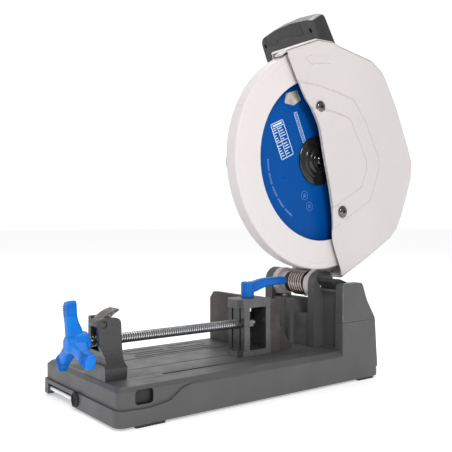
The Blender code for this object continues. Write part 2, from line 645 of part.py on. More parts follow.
def gears(frame):
    to_idler = direction(ARBOR, IDLER)
    idler_first = meshing_angle(to_idler, 0.0, SPINDLE_TEETH, IDLER_PINION_TEETH)
    motor_first = meshing_angle(direction(IDLER, MOTOR), idler_first, IDLER_TEETH, MOTOR_TEETH)

    wheel = prism("X", gear_outline(ARBOR, SPINDLE_MODULE, SPINDLE_TEETH, 0.0), 0.0365, 0.0440)
    cut(wheel, drum("X", ARBOR, 0.0100 + GAP, 0.03, 0.05, 24))
    name_part(wheel, "spindle_gear", "dark_steel", frame, (0.04, *ARBOR))

    idler = prism("X", gear_outline(IDLER, IDLER_MODULE, IDLER_TEETH, idler_first), 0.0262, 0.0322)
    join(idler, prism("X", gear_outline(IDLER, SPINDLE_MODULE, IDLER_PINION_TEETH, idler_first),
                      0.0310, 0.0445))
    join(idler, drum("X", IDLER, 0.0040, 0.0236, 0.0456, 16))
    name_part(idler, "idler_gear", "dark_steel", frame, (0.03, *IDLER))

    pinion = prism("X", gear_outline(MOTOR, IDLER_MODULE, MOTOR_TEETH, motor_first), 0.0250, 0.0335)
    cut(pinion, drum("X", MOTOR, 0.0024 + GAP, 0.02, 0.04, 12))
    name_part(pinion, "motor_pinion", "dark_steel", frame, (0.03, *MOTOR))


def spindle_parts(frame):
    nose = [(0.0196, 0), (0.0196, 0.0080), (0.0280, 0.0080), (0.0280, 0.0100), (0.0638, 0.0100),
            (0.0638, 0.0124), (0.0803, 0.0124), (0.0803, 0.0055), (0.0600, 0.0055), (0.0600, 0)]
    name_part(turned("X", ARBOR, nose, 24), "spindle", "zinc", frame, (0.05, *ARBOR))
    bearing = tube("X", ARBOR, 0.0100 + GAP, 0.0210, 0.0504, 0.0616, 28)
    name_part(bearing, "spindle_bearing", "zinc", frame, (0.05, *ARBOR))
    button = turned("X", LOCK_BUTTON, [(0.0040, 0), (0.0300, 0), (0.0300, 0.0034), (0.0100, 0.0034),
                                       (0.0100, 0.0044), (0.0040, 0.0044)], 16)
    name_part(button, "spindle_lock_button", "black_plastic", frame, (0.01, *LOCK_BUTTON))


def motor_housing(frame):
    shell = turned("X", MOTOR, [(-0.1210, 0.0505), (-0.0130, 0.0505), (-0.0060, 0.0400),
                                (0.0120, 0.0400), (0.0120, 0.0120), (0.0177, 0.0120),
                                (0.0177, 0.0455), (0.0010, 0.0455), (-0.0100, 0.0560),
                                (-0.0160, 0.0570), (-0.1150, 0.0570), (-0.1210, 0.0560)], 28)
    cut(shell, drum("X", LOCK_BUTTON, 0.0075, -0.02, 0.03, 16))
    return name_part(shell, "motor_housing", "black_plastic", frame, (0, *MOTOR))


def motor_end_cap(frame):
    cap = turned("X", MOTOR, [(-0.1213, 0.0555), (-0.1213, 0.0500), (-0.1540, 0.0480),
                              (-0.1540, 0.0110), (-0.1480, 0.0110), (-0.1480, 0.0070),
                              (-0.1600, 0.0070), (-0.1600, 0.0440), (-0.1560, 0.0520),
                              (-0.1500, 0.0565), (-0.1250, 0.0570)], 28)
    for i in range(6):
        t = 2 * math.pi * (i + 0.5) / 6
        slot = prism("Z", rounded([(-0.2, -0.0035), (-0.1400, -0.0035), (-0.1400, 0.0035), (-0.2, 0.0035)],
                                  0.002, 1), 0.022, 0.042)
        turn(slot, Matrix.Translation((0, *MOTOR)) @ Matrix.Rotation(t, 4, "X"))
        cut(cap, slot)
    for t in (60, 240):
        cut(cap, brush_bore(t, 0.0083, 0.030, 0.08))
    return name_part(cap, "motor_end_cap", "bright_blue", frame, (0, *MOTOR))


def brush_bore(angle, radius, low, high):
    """A drum that stands out from the motor's axis at an angle in degrees."""
    shape = drum("Z", (-0.1360, 0), radius, low, high, 20)
    spin = Matrix.Rotation(math.radians(angle), 4, "X")
    return turn(shape, Matrix.Translation((0, *MOTOR)) @ spin)


def brush_caps(frame):
    for name, t in (("brush_cap_front", 60), ("brush_cap_rear", 240)):
        cap = brush_bore(t, 0.0080, 0.0460, 0.0565)
        name_part(cap, name, "black_plastic", frame, (-0.1360, *MOTOR))


def motor_internals(frame):
    name_part(tube("X", MOTOR, 0.0235, 0.0500, -0.1050, -0.0350, 28), "stator", "copper", frame,
              (0, *MOTOR))
    shaft = turned("X", MOTOR, [(-0.1520, 0), (0.0360, 0), (0.0360, 0.0024), (0.0240, 0.0024),
                                (0.0240, 0.0060), (-0.0300, 0.0060), (-0.0300, 0.0228),
                                (-0.1080, 0.0228), (-0.1080, 0.0120), (-0.1400, 0.0120),
                                (-0.1400, 0.0060), (-0.1520, 0.0060)], 20)
    name_part(shaft, "armature", "copper", frame, (0, *MOTOR))
    fan = turned("X", MOTOR, [(-0.0270, 0.0063), (-0.0140, 0.0063), (-0.0140, 0.0450),
                              (-0.0165, 0.0450), (-0.0165, 0.0120), (-0.0270, 0.0120)], 20)
    for i in range(7):
        blade = box((-0.0262, -0.0155), (0.0100, 0.0440), (-0.0008, 0.0008))
        turn(blade, Matrix.Translation((0, *MOTOR)) @ Matrix.Rotation(2 * math.pi * i / 7, 4, "X"))
        join(fan, blade)
    name_part(fan, "cooling_fan", "black_plastic", frame, (0, *MOTOR))


# ---- blade and guards -------------------------------------------------------------------------------
def blade_parts(frame):
    blade = tube("X", ARBOR, 0.0127, BLADE_RADIUS, *BLADE_X, 80)
    name_part(blade, "saw_blade", "blade_blue", frame, (0.08, *ARBOR))
    inner = turned("X", ARBOR, [(0.0720, 0.0127), (BLADE_X[0] - GAP, 0.0127), (BLADE_X[0] - GAP, 0.0330),
                                (0.0750, 0.0330), (0.0720, 0.0260)], 28)
    name_part(inner, "inner_flange", "dark_steel", frame, (0.08, *ARBOR))
    start = BLADE_X[1] + GAP
    outer = turned("X", ARBOR, [(start, 0.0056), (0.0890, 0.0056), (0.0890, 0.0200), (0.0870, 0.0225),
                                (0.0858, 0.0300), (0.0850, 0.0405), (0.0835, 0.0425), (start, 0.0425)], 32)
    name_part(outer, "outer_flange", "black_plastic", frame, (0.08, *ARBOR))
    bolt = drum("X", ARBOR, 0.0050, 0.0610, 0.0920, 16)
    join(bolt, drum("X", ARBOR, 0.0120, 0.0893, 0.0912, 24))
    join(bolt, prism("X", hexagon(ARBOR, 0.0160), 0.0905, 0.0945))
    name_part(bolt, "arbor_bolt", "dark_steel", frame, (0.08, *ARBOR))


# The upper guard's outline: corners of its outer edge, then its curved front edge, as y, z.
GUARD_LIP = [(0.3165, 0.5570), (0.3290, 0.5658), (0.343, 0.5731), (0.360, 0.5790)]
GUARD_RIM = [(0.330, 0.569), (0.399, 0.596), (0.436, 0.597),
             (0.461, 0.591), (0.541, 0.578), (0.569, 0.561), (0.581, 0.546), (0.613, 0.494),
             (0.644, 0.429), (0.658, 0.395), (0.655, 0.362), (0.629, 0.295), (0.614, 0.268),
             (0.594, 0.249), (0.529, 0.214), (0.4630, 0.1815)]
GUARD_FRONT = [(0.4560, 0.1950), (0.4511, 0.2069), (0.4407, 0.2310), (0.4338, 0.2527), (0.4335, 0.2784),
               (0.4309, 0.3073), (0.4219, 0.3505), (0.4108, 0.3932), (0.4005, 0.4383),
               (0.3945, 0.4523), (0.3797, 0.4760), (0.3678, 0.4889), (0.3516, 0.5148), (0.3300, 0.5540)]


def pulled_in(points, distance):
    """The outer edge moved towards the blade's axis by a wall's thickness."""
    out = []
    for i, p in enumerate(points):
        before, after = Vector(points[max(i - 1, 0)]), Vector(points[min(i + 1, len(points) - 1)])
        along = (after - before).normalized()
        out.append(tuple(Vector(p) + distance * Vector((along.y, -along.x))))
    return out


def upper_guard(frame):
    left, right = UPPER_GUARD_X
    levels = ((left, 0.0), (right - 0.009, 0.0), (right - 0.0035, 0.0018), (right - 0.0008, 0.0048),
              (right, 0.0085))
    guard = triangulated(loft([[(x, y, z) for y, z in pulled_in(GUARD_RIM, inset) + GUARD_FRONT]
                               for x, inset in levels]))
    for _, spot in GUARD_SCREWS:
        cut(guard, drum("X", spot, 0.0032, 0.09, 0.12, 16))
    inside = pulled_in(GUARD_RIM, SHELL)
    inside.append((inside[-1][0] - 0.030, inside[-1][1] - 0.030))
    inside += [(0.20, 0.22), (0.20, 0.50)]
    cut(guard, prism("X", inside, left - 0.01, right - SHELL))
    cut(guard, drum("X", PIVOT, RING_RADIUS + LUG_ROOM, left - 0.01, 0.0760))
    lip = GUARD_LIP + pulled_in(GUARD_LIP, SHELL)[::-1]
    join(guard, prism("X", lip, left + 0.0205, right - 0.0065))
    return name_part(guard, "upper_guard", "guard_paint", frame, (0, *PIVOT))


def guard_screws(frame):
    for name, spot in GUARD_SCREWS:
        face = UPPER_GUARD_X[1] + GAP
        screw = turned("X", spot, [(0.0970, 0), (0.0970, 0.0029), (face, 0.0029), (face, 0.0078),
                                   (face + 0.0018, 0.0072), (face + 0.0036, 0.0050), (face + 0.0044, 0)],
                       20)
        cut(screw, prism("X", hexagon(spot, 0.0045), face + 0.0020, 0.13))
        name_part(screw, name, "dark_steel", frame, (0.1, *spot))


def guard_back_plate(frame):
    """The plate behind the blade: the guard's outline, brought round the gearbox's nose in front."""
    front = [(0.440, 0.240), (0.400, 0.320)] + arc(ARBOR, 0.062, 235, 135, 8) + [(0.345, 0.500)]
    plate = prism("X", GUARD_RIM + front, 0.0600, UPPER_GUARD_X[0] - GAP)
    cut(plate, drum("X", ARBOR, NOSE_RADIUS + GAP, 0.05, 0.07, 32))
    cut(plate, drum("X", PIVOT, RING_RADIUS + LUG_ROOM, 0.05, 0.07))
    return name_part(plate, "guard_back_plate", "guard_paint", frame, (0, *PIVOT))


def swept(profile, centre, start, end, steps):
    """Sweep a closed profile of (x, radius) points round an axis along X, between two angles."""
    y, z = centre
    rings = []
    for i in range(steps + 1):
        t = math.radians(start + (end - start) * i / steps)
        rings.append([(x, y + r * math.cos(t), z + r * math.sin(t)) for x, r in profile])
    return loft(rings)


def lower_guard(frame):
    r, inner, left, right = LOWER_GUARD_RADIUS, 0.0480, 0.0680, 0.0950
    profile = [(left, inner), (left, r - 0.0015), (left + 0.0015, r), (right - 0.0060, r),
               (right - 0.0016, r - 0.0026), (right, r - 0.0080),
               (right, GUARD_OPENING), (right - SHELL, GUARD_OPENING), (right - SHELL, r - SHELL),
               (left + SHELL, r - SHELL), (left + SHELL, inner)]
    guard = swept(profile, ARBOR, LOWER_GUARD_FROM, LOWER_GUARD_TO, 25)
    join(guard, drum("X", (ARBOR[0] - 0.1697, ARBOR[1] + 0.0821), 0.0032, 0.0760, 0.0870, 12))
    join(guard, tube("X", ARBOR, NOSE_RADIUS + 0.0007, 0.0560, 0.0638, 0.0704, 32))
    return name_part(guard, "lower_guard", "guard_paint", frame, (0.08, *ARBOR))


# ---- handle -----------------------------------------------------------------------------------------
def on_handle(obj):
    """From the handle's own frame (x, across, up) to where it stands on the head."""
    lean = Matrix.Rotation(HANDLE_TILT, 4, "X")
    return turn(obj, Matrix.Translation((0, *HANDLE_BASE)) @ lean)


def handle_side(low, high):
    """One layer of the handle, between two depths across it."""
    outer = rounded([(-0.0760, HANDLE_BOTTOM), (0.0540, HANDLE_BOTTOM), (0.0585, 0.0000), (0.0585, 0.0580),
                     (0.0450, 0.0630), (0.0000, 0.0660), (-0.0450, 0.0635), (-0.0900, 0.0545),
                     (-0.0980, 0.0100), (-0.0940, -0.0150)],
                    [0, 0, 0.010, 0.012, 0.010, 0.020, 0.020, 0.016, 0.020, 0.010], 2)
    hole = rounded([(-0.0660, -0.0120), (0.0380, -0.0120), (0.0420, 0.0250), (-0.0780, 0.0250)], 0.008, 2)
    shape = prism("Y", outer, low, high)
    return cut(shape, prism("Y", hole, -0.05, 0.05))


def handle_shells(frame):
    half, wall = HANDLE_HALF, 0.0035
    for name, low, high in (("handle_front_shell", -0.1, -GAP / 2), ("handle_rear_shell", GAP / 2, 0.1)):
        shell = soften(handle_side(-half, half), 0.0045)
        for x, z in HANDLE_SCREWS:
            cut(shell, drum("Y", (x, z), 0.0040, -0.03, -half + 0.0030, 16))
        cut(shell, drum("Y", LOCK_OFF, 0.0052, 0.0, 0.03, 20))
        cut(shell, box((-0.0740, 0.0530), (-half + wall, half - wall), (0.0290, 0.0560)))
        cut(shell, box((-0.0520, 0.0220), (-0.0090, 0.0090), (0.0150, 0.0310)))
        boolean(shell, box((-0.2, 0.2), (low, high), (-0.1, 0.1)), "INTERSECT")
        on_handle(shell)
        name_part(shell, name, "grip_grey", frame, (0, *PIVOT))


def trigger(frame):
    paddle = box((-0.0510, 0.0210), (-0.0080, 0.0080), (0.0180, 0.0360))
    join(paddle, box((-0.0540, 0.0240), (-0.0080, 0.0080), (0.0302, 0.0360)))
    on_handle(paddle)
    return name_part(paddle, "trigger", "bright_blue", frame, (0, *HANDLE_BASE))


def lock_off_button(frame):
    x, z = LOCK_OFF
    button = turned("Y", LOCK_OFF, [(0.0195, 0), (0.0195, 0.0040), (0.0185, 0.0049),
                                    (0.0120, 0.0049), (0.0120, 0.0070), (0.0060, 0.0070),
                                    (0.0060, 0)], 20)
    on_handle(button)
    return name_part(button, "lock_off_button", "bright_blue", frame, (x, *HANDLE_BASE))


def switch_module(frame):
    module = box((-0.0450, 0.0150), (-0.0100, 0.0100), (0.0435, 0.0545))
    on_handle(module)
    return name_part(module, "switch_module", "black_plastic", frame, (0, *HANDLE_BASE))


def handle_bracket(frame):
    """The pedestal that carries the handle on the motor."""
    lean = Matrix.Rotation(HANDLE_TILT, 4, "X")
    corners = [lean @ Vector((0, across, HANDLE_BOTTOM - GAP)) for across in (-HANDLE_HALF, HANDLE_HALF)]
    (fy, fz), (ry, rz) = [(HANDLE_BASE[0] + c.y, HANDLE_BASE[1] + c.z) for c in corners]
    side = [(0.4400, 0.4200), (0.5000, 0.4200), (0.5200, 0.5300), (ry, rz), (fy, fz), (0.4700, 0.5400)]
    post = prism("X", side, -0.0780, 0.0540)
    cut(post, drum("X", MOTOR, 0.0573, -0.2, 0.0178, 32))
    cut(post, prism("X", gearbox_outline(-GAP), 0.0176, 0.10))
    cut(post, box((0.0176, 0.10), (0.30, 0.60), (0.30, 0.4450)))
    cut(post, box((-0.0500, 0.0100), (0.4850, 0.5100), (0.30, 0.5450)))
    soften(post, 0.0030)
    cut(post, drum("Y", GLAND, 0.0060 + GAP, 0.50, 0.60, 20))
    return name_part(post, "handle_bracket", "black_plastic", frame, (0, *PIVOT))


def cord_gland(frame):
    gland = turned("Y", GLAND, [(0.5060, 0.0035), (0.5400, 0.0035), (0.5400, 0.0055), (0.5330, 0.0075),
                                (0.5230, 0.0085), (0.5205, 0.0085), (0.5205, 0.0060), (0.5060, 0.0060)], 16)
    return name_part(gland, "cord_gland", "rubber", frame)


# ---- everything together ----------------------------------------------------------------------------
def main():
    for obj in list(bpy.data.objects):
        bpy.data.objects.remove(obj)
    frame = bpy.data.objects.new("saw_frame", None)
    frame.location = FRAME_SHIFT
    bpy.context.scene.collection.objects.link(frame)
    makers = (base_casting, tower_cap, front_rod, rod_boss, feet, pivot_bracket, pivot_shaft,
              torsion_spring, spring_collar, depth_stop_bolt, lock_pin, chip_deflector, fence,
              fence_bolts, nut_block, release_pin, release_lever, half_nut, vise_screw, screw_end_nut,
              vise_handle, vise_jaw, jaw_lever, jaw_lever_stud, head_arm, gearbox_shells, gears,
              spindle_parts, motor_housing, motor_end_cap, brush_caps, motor_internals, blade_parts,
              upper_guard, guard_screws, guard_back_plate, lower_guard, handle_shells, handle_bracket,
              trigger, lock_off_button, switch_module, cord_gland)
    for make in makers:
        make(frame)


main()
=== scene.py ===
"""Looks for the metal-cutting chop saw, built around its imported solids.

Lengths are metres. Shapes are laid out in the base's own coordinates, counted from the middle of the
base (x), its front edge (y) and the ground (z), and moved by SHIFT into the row frame at the end.
"""

import math

import bmesh
import bpy
from mathutils import Matrix, Vector


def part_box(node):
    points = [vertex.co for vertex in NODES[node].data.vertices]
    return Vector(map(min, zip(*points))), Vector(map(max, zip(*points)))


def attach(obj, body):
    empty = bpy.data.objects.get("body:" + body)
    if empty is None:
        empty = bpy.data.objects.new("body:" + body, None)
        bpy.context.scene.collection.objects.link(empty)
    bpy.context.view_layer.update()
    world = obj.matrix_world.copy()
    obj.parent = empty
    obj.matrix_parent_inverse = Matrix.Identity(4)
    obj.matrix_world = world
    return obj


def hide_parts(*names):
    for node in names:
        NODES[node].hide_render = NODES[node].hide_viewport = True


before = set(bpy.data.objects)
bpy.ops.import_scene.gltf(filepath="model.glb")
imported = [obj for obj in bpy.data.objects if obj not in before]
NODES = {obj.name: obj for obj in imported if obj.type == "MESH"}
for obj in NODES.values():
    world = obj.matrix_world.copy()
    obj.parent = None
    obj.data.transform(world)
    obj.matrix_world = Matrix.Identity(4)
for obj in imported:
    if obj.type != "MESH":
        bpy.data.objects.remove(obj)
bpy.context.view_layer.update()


base_low, base_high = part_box("base_casting")
SHIFT = Vector(((base_low.x + base_high.x) / 2, base_low.y, 0))


def middle(node):
    low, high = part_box(node)
    return (low + high) / 2 - SHIFT


def yz(node):
    """y, z of the middle of a node that lies along X."""
    return tuple(middle(node).yz)


# y, z of the axes along X, and x, z of the screw
ARBOR, MOTOR, PIVOT = yz("saw_blade"), yz("motor_housing"), yz("pivot_shaft")
SCREW = tuple(middle("vise_screw").xz)

# Heights of the table, of the seam in the rear tower and of the tower's top
TABLE, TOWER_SEAM, BLOCK_TOP = 0.057, 0.106, 0.163
BASE_WIDTH, BASE_LENGTH, BASE_BOTTOM = 0.255, 0.532, 0.004
# Between pieces that meet
GAP = 0.0003
# Along X: the blade's two faces, and the upper guard's face
BLADE_X = (0.0784, 0.081)
GUARD_FACE = 0.106
# y, z of the handle frame's origin, and its lean
HANDLE_BASE, HANDLE_TILT = (0.475, 0.6), math.radians(32)
# What cast_round works at
VOXEL = 0.0007
# The normals of flatter faces than this, along X, belong to the guard's flat face
STEP_NORMAL = 0.94


# ---- shapes -----------------------------------------------------------------------------------------
def place(axis, along, a, b):
    """A point from its distance along an axis and its two coordinates across it, in x, y, z order."""
    return {"X": (along, a, b), "Y": (a, along, b), "Z": (a, b, along)}[axis]


def linked(name, data):
    obj = bpy.data.objects.new(name, data)
    bpy.context.scene.collection.objects.link(obj)
    return obj


def solid(bm):
    bmesh.ops.recalc_face_normals(bm, faces=bm.faces)
    mesh = bpy.data.meshes.new("shape")
    bm.to_mesh(mesh)
    bm.free()
    return linked("shape", mesh)


def loft(rings):
    """A skin through rings of points, closed by two end faces."""
    bm = bmesh.new()
    rows = [[bm.verts.new(p) for p in ring] for ring in rings]
    count = len(rows[0])
    for low, high in zip(rows, rows[1:]):
        for i in range(count):
            j = (i + 1) % count
            bm.faces.new((low[i], low[j], high[j], high[i]))
    bm.faces.new(rows[0][::-1])
    bm.faces.new(rows[-1])
    return solid(bm)


def prism(axis, outline, low, high):
    return loft([[place(axis, t, a, b) for a, b in outline] for t in (low, high)])


def box(x, y, z):
    return prism("Z", [(x[0], y[0]), (x[1], y[0]), (x[1], y[1]), (x[0], y[1])], *z)


def turned(axis, centre, profile, steps=64):
    """Revolve a closed profile of (along, radius) points; a radius of 0 lies on the axis."""
    bm = bmesh.new()
    rings = []
    for along, radius in profile:
        if radius == 0:
            rings.append([bm.verts.new(place(axis, along, *centre))] * steps)
            continue
        angles = [2 * math.pi * i / steps for i in range(steps)]
        spots = [(centre[0] + radius * math.cos(t), centre[1] + radius * math.sin(t)) for t in angles]
        rings.append([bm.verts.new(place(axis, along, a, b)) for a, b in spots])
    for ring, after in zip(rings, rings[1:] + rings[:1]):
        for i in range(steps):
            j = (i + 1) % steps
            corners = list(dict.fromkeys((ring[i], ring[j], after[j], after[i])))
            if len(corners) > 2:
                bm.faces.new(corners)
    return solid(bm)


def drum(axis, centre, radius, low, high, steps=48, edge=0.0):
    """A cylinder, with both ends rounded off by edge."""
    if not edge:
        return turned(axis, centre, [(low, 0), (high, 0), (high, radius), (low, radius)], steps)
    corner = 0.3 * edge
    profile = [(low, 0), (low, radius - edge), (low + corner, radius - corner), (low + edge, radius),
               (high - edge, radius), (high - corner, radius - corner), (high, radius - edge), (high, 0)]
    return turned(axis, centre, profile, steps)


def tube(axis, centre, inner, outer, low, high, steps=64):
    return turned(axis, centre, [(low, inner), (high, inner), (high, outer), (low, outer)], steps)


def arc(centre, radius, start, end, steps):
    """Points on a circle from one angle in degrees to another."""
    spots = [math.radians(start + (end - start) * i / steps) for i in range(steps + 1)]
    return [(centre[0] + radius * math.cos(t), centre[1] + radius * math.sin(t)) for t in spots]


def rounded(points, radius, steps=5, closed=True):
    """The outline with each corner turned into an arc; radius is one number or one for each corner."""
    out = []
    for i, here in enumerate(points):
        r = radius[i] if isinstance(radius, (list, tuple)) else radius
        p = Vector(here)
        before, after = Vector(points[i - 1]) - p, Vector(points[(i + 1) % len(points)]) - p
        half = before.angle(after) / 2
        ends = not closed and i in (0, len(points) - 1)
        if r == 0 or ends or abs(half - math.pi / 2) < 0.01:
            out.append(tuple(here))
            continue
        reach = min(r / math.tan(half), 0.49 * before.length, 0.49 * after.length)
        start, end = p + before.normalized() * reach, p + after.normalized() * reach
        for k in range(steps + 1):
            t = k / steps
            out.append(tuple((1 - t) ** 2 * start + 2 * t * (1 - t) * p + t**2 * end))
    return out


def panel(x, y, radius, steps=5):
    """A rectangle with rounded corners, from its two ranges."""
    return rounded([(x[0], y[0]), (x[1], y[0]), (x[1], y[1]), (x[0], y[1])], radius, steps)


def hexagon(centre, width):
    return arc(centre, width / math.sqrt(3), 30, 330, 5)


def spun(axis, angle, spot):
    """A turn about an axis, then a move to a spot."""
    return Matrix.Translation(spot) @ Matrix.Rotation(angle, 4, axis)


def bake(obj):
    """Replace the mesh by what the modifiers make of it."""
    graph = bpy.context.evaluated_depsgraph_get()
    mesh = bpy.data.meshes.new_from_object(obj.evaluated_get(graph))
    obj.modifiers.clear()
    obj.data = mesh
    return obj


def boolean(target, tool, operation):
    modifier = target.modifiers.new(operation, "BOOLEAN")
    modifier.operation, modifier.object, modifier.solver = operation, tool, "EXACT"
    bake(target)
    bpy.data.objects.remove(tool)
    return target


def join(target, *tools):
    for tool in tools:
        boolean(target, tool, "UNION")
    return target


def cut(target, *tools):
    for tool in tools:
        boolean(target, tool, "DIFFERENCE")
    return target


def overlap(mesh):
    """How much more area the faces' triangles have than the faces: above 0 where a face crosses itself."""
    mesh.calc_loop_triangles()
    return sum(t.area for t in mesh.loop_triangles) - sum(p.area for p in mesh.polygons)


def bevelled(obj, width, segments=2, angle=28, wear_and_shading=1):
    """Round the edges sharper than the angle; the new faces take the material slot wear_and_shading.
    That slot's edge look is partly rubbed wear and partly painted light: a painted highlight on the
    lighter edge looks, a painted shade on the guard's darker one.

    Where the width doesn't fit between the edges, it is brought down until it does.
    """
    if wear_and_shading:
        while len(obj.data.materials) <= wear_and_shading:
            obj.data.materials.append(None)
    before = obj.data.copy()
    allowed = overlap(before) + 2e-8
    for share in (1, 0.8, 0.6, 0.45, 0.3, 0.2, 0.1):
        modifier = obj.modifiers.new("edges", "BEVEL")
        modifier.width, modifier.segments = width * share, segments
        modifier.limit_method, modifier.angle_limit = "ANGLE", math.radians(angle)
        modifier.use_clamp_overlap = False
        modifier.material = wear_and_shading if wear_and_shading else -1
        bake(obj)
        if overlap(obj.data) <= allowed:
            return obj
        obj.data = before.copy()
    return obj


def flattened(obj):
    """Merge the triangles that lie in one plane."""
    bm = bmesh.new()
    bm.from_mesh(obj.data)
    bmesh.ops.remove_doubles(bm, verts=bm.verts[:], dist=2e-6)
    bmesh.ops.dissolve_limit(bm, angle_limit=math.radians(0.4), verts=bm.verts[:], edges=bm.edges[:])
    bm.to_mesh(obj.data)
    bm.free()
    return obj


def moved(obj, matrix):
    obj.data.transform(matrix)
    return obj


def copied(node):
    """A free copy of a solid, in the base's coordinates."""
    obj = linked("copy", NODES[node].data.copy())
    obj.data.materials.clear()
    if "custom_normal" in obj.data.attributes:
        obj.data.attributes.remove(obj.data.attributes["custom_normal"])
    for polygon in obj.data.polygons:
        polygon.material_index = 0
    return flattened(moved(obj, Matrix.Translation(-SHIFT)))


def cast_round(obj, keep):
    """Melt the edges and inner corners together as a moulding's are, then keep a share of the mesh."""
    remesh = obj.modifiers.new("skin", "REMESH")
    remesh.mode, remesh.voxel_size, remesh.use_smooth_shade = "VOXEL", VOXEL, True
    melt = obj.modifiers.new("melt", "SMOOTH")
    melt.factor, melt.iterations = 0.5, 6
    thin = obj.modifiers.new("thin", "DECIMATE")
    thin.ratio = keep
    obj.data.materials.clear()
    return bake(obj)


def piece(obj, name, body, looks, stands_for=(), angle=35):
    """Finish a piece: its name, its place in the row frame, its materials and what it rides on."""
    obj.name = name
    obj.data.name = name
    obj.data.transform(Matrix.Translation(SHIFT))
    indices = [p.material_index for p in obj.data.polygons]
    obj.data.materials.clear()
    looks = looks if isinstance(looks, (list, tuple)) else [looks]
    for look in looks:
        obj.data.materials.append(look)
    last = len(looks) - 1
    for polygon, index in zip(obj.data.polygons, indices):
        polygon.material_index = min(index, last)
    obj.data.shade_smooth()
    obj.data.set_sharp_from_angle(angle=math.radians(angle))
    level = obj.modifiers.new("level", "WEIGHTED_NORMAL")
    level.keep_sharp = True
    bake(obj)
    obj.data.name = name
    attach(obj, body)
    if stands_for:
        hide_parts(*stands_for)
    return obj


def merged(first, *others):
    """Several meshes as one object, whose faces keep their material numbers."""
    bm = bmesh.new()
    for obj in (first, *others):
        bm.from_mesh(obj.data)
    slots = max(len(o.data.materials) for o in (first, *others))
    bm.to_mesh(first.data)
    bm.free()
    while len(first.data.materials) < slots:
        first.data.materials.append(None)
    for obj in others:
        bpy.data.objects.remove(obj)
    return first


def painted(obj, index):
    """Give every face of a mesh the material number index, which counts into its piece's looks."""
    while len(obj.data.materials) <= index:
        obj.data.materials.append(None)
    for polygon in obj.data.polygons:
        polygon.material_index = index
    return obj


# ---- materials --------------------------------------------------------------------------------------
def material(name, colour, roughness, metallic=0.0, grain=(900, 0.00006), blotch=(9, 0.1),
             uneven=(60, 0.08), wear_and_shading=None, stretch=(1, 1, 1), sheen=0.0, specular=0.5):
    """A surface with mottled colour, uneven gloss and a fine relief.

    grain is the relief's (scale, depth in metres), blotch and uneven the (scale, amount) of the colour's
    and the gloss's variation, and wear_and_shading a (colour, share) of wear that rubs through in small
    patches.
    """
    made = bpy.data.materials.new(name)
    made.use_nodes = True
    tree = made.node_tree
    shader = tree.nodes["Principled BSDF"]
    shader.inputs["Metallic"].default_value = metallic
    shader.inputs["Sheen Weight"].default_value = sheen
    shader.inputs["Specular IOR Level"].default_value = specular

    def node(kind, **inputs):
        new = tree.nodes.new(kind)
        for key, value in inputs.items():
            socket = new.inputs[key.replace("_", " ")]
            if isinstance(value, bpy.types.NodeSocket):
                tree.links.new(value, socket)
            else:
                socket.default_value = value
        return new

    where = tree.nodes.new("ShaderNodeTexCoord").outputs["Object"]
    mapped = node("ShaderNodeMapping", Vector=where, Scale=stretch).outputs["Vector"]

    def noise(scale, detail, vector):
        return node("ShaderNodeTexNoise", Vector=vector, Scale=scale, Detail=detail).outputs["Fac"]

    def ramp(value, low, high, start, end):
        made = node("ShaderNodeMapRange", Value=value, From_Min=low, From_Max=high, To_Min=start, To_Max=end)
        return made.outputs["Result"]

    def mix(share, one, other):
        made = node("ShaderNodeMix")
        made.data_type = "RGBA"
        for index, value in ((0, share), (6, one), (7, other)):
            if isinstance(value, bpy.types.NodeSocket):
                tree.links.new(value, made.inputs[index])
            else:
                made.inputs[index].default_value = value
        return made.outputs[2]

    scale, amount = blotch
    light = (*[min(1.0, c * (1 + amount)) for c in colour], 1)
    dark = (*[c * (1 - amount) for c in colour], 1)
    cloudy = noise(scale, 4.0, where)
    tone = mix(ramp(cloudy, 0.3, 0.7, 0.0, 1.0), dark, light)
    speck = noise(grain[0] * 0.5, 2.0, mapped)
    tone = mix(ramp(speck, 0.35, 0.65, 0.0, 0.35), tone, light)
    if wear_and_shading:
        rubbed, share = wear_and_shading
        patches = noise(130, 6.0, where)
        tone = mix(ramp(patches, 0.62 - 0.3 * share, 0.66, 0.0, 0.9), tone, (*rubbed, 1))
    tree.links.new(tone, shader.inputs["Base Color"])
    scale, amount = uneven
    gloss = ramp(noise(scale, 5.0, mapped), 0.3, 0.7, max(0.02, roughness - amount), roughness + amount)
    tree.links.new(gloss, shader.inputs["Roughness"])
    relief = node("ShaderNodeBump", Height=noise(grain[0], 3.0, mapped), Distance=grain[1], Strength=0.8)
    tree.links.new(relief.outputs["Normal"], shader.inputs["Normal"])
    return made


# The *_edge looks go on the rounded edges: lighter copies of the face colours, partly rubbed wear and partly
# a painted highlight along the edges. The guard's edge look is darker, a painted shade.
BASE = material("base_paint", (0.076, 0.0755, 0.077), 0.45, grain=(1400, 0.00012), blotch=(14, 0.14),
                uneven=(40, 0.07), specular=0.45)
BASE_EDGE = material("base_edge", (0.125, 0.124, 0.125), 0.42, grain=(1400, 0.0001),
                     wear_and_shading=((0.19, 0.19, 0.195), 0.35))
# Painted shade: near-black for the insides of the hand holds
POCKET_SHADE = material("pocket_painted_shade", (0.008, 0.008, 0.008), 0.5, grain=(1400, 0.0001), blotch=(14, 0.12))
CAST = material("rough_casting", (0.098, 0.097, 0.098), 0.58, grain=(520, 0.00035), blotch=(40, 0.22))
CAST_EDGE = material("rough_casting_edge", (0.17, 0.169, 0.17), 0.5, grain=(520, 0.0003),
                     wear_and_shading=((0.21, 0.21, 0.21), 0.3))
GUARD = material("guard_paint", (0.655, 0.61, 0.612), 0.38, grain=(700, 0.00005), blotch=(6, 0.025),
                 specular=0.3)
# Painted shade: a darker copy of the guard paint, for the upper guard
GUARD_PAINT_IN_SHADE = material("guard_paint_in_shade", (0.585, 0.545, 0.545), 0.4, grain=(700, 0.00005), blotch=(6, 0.03),
                   specular=0.3)
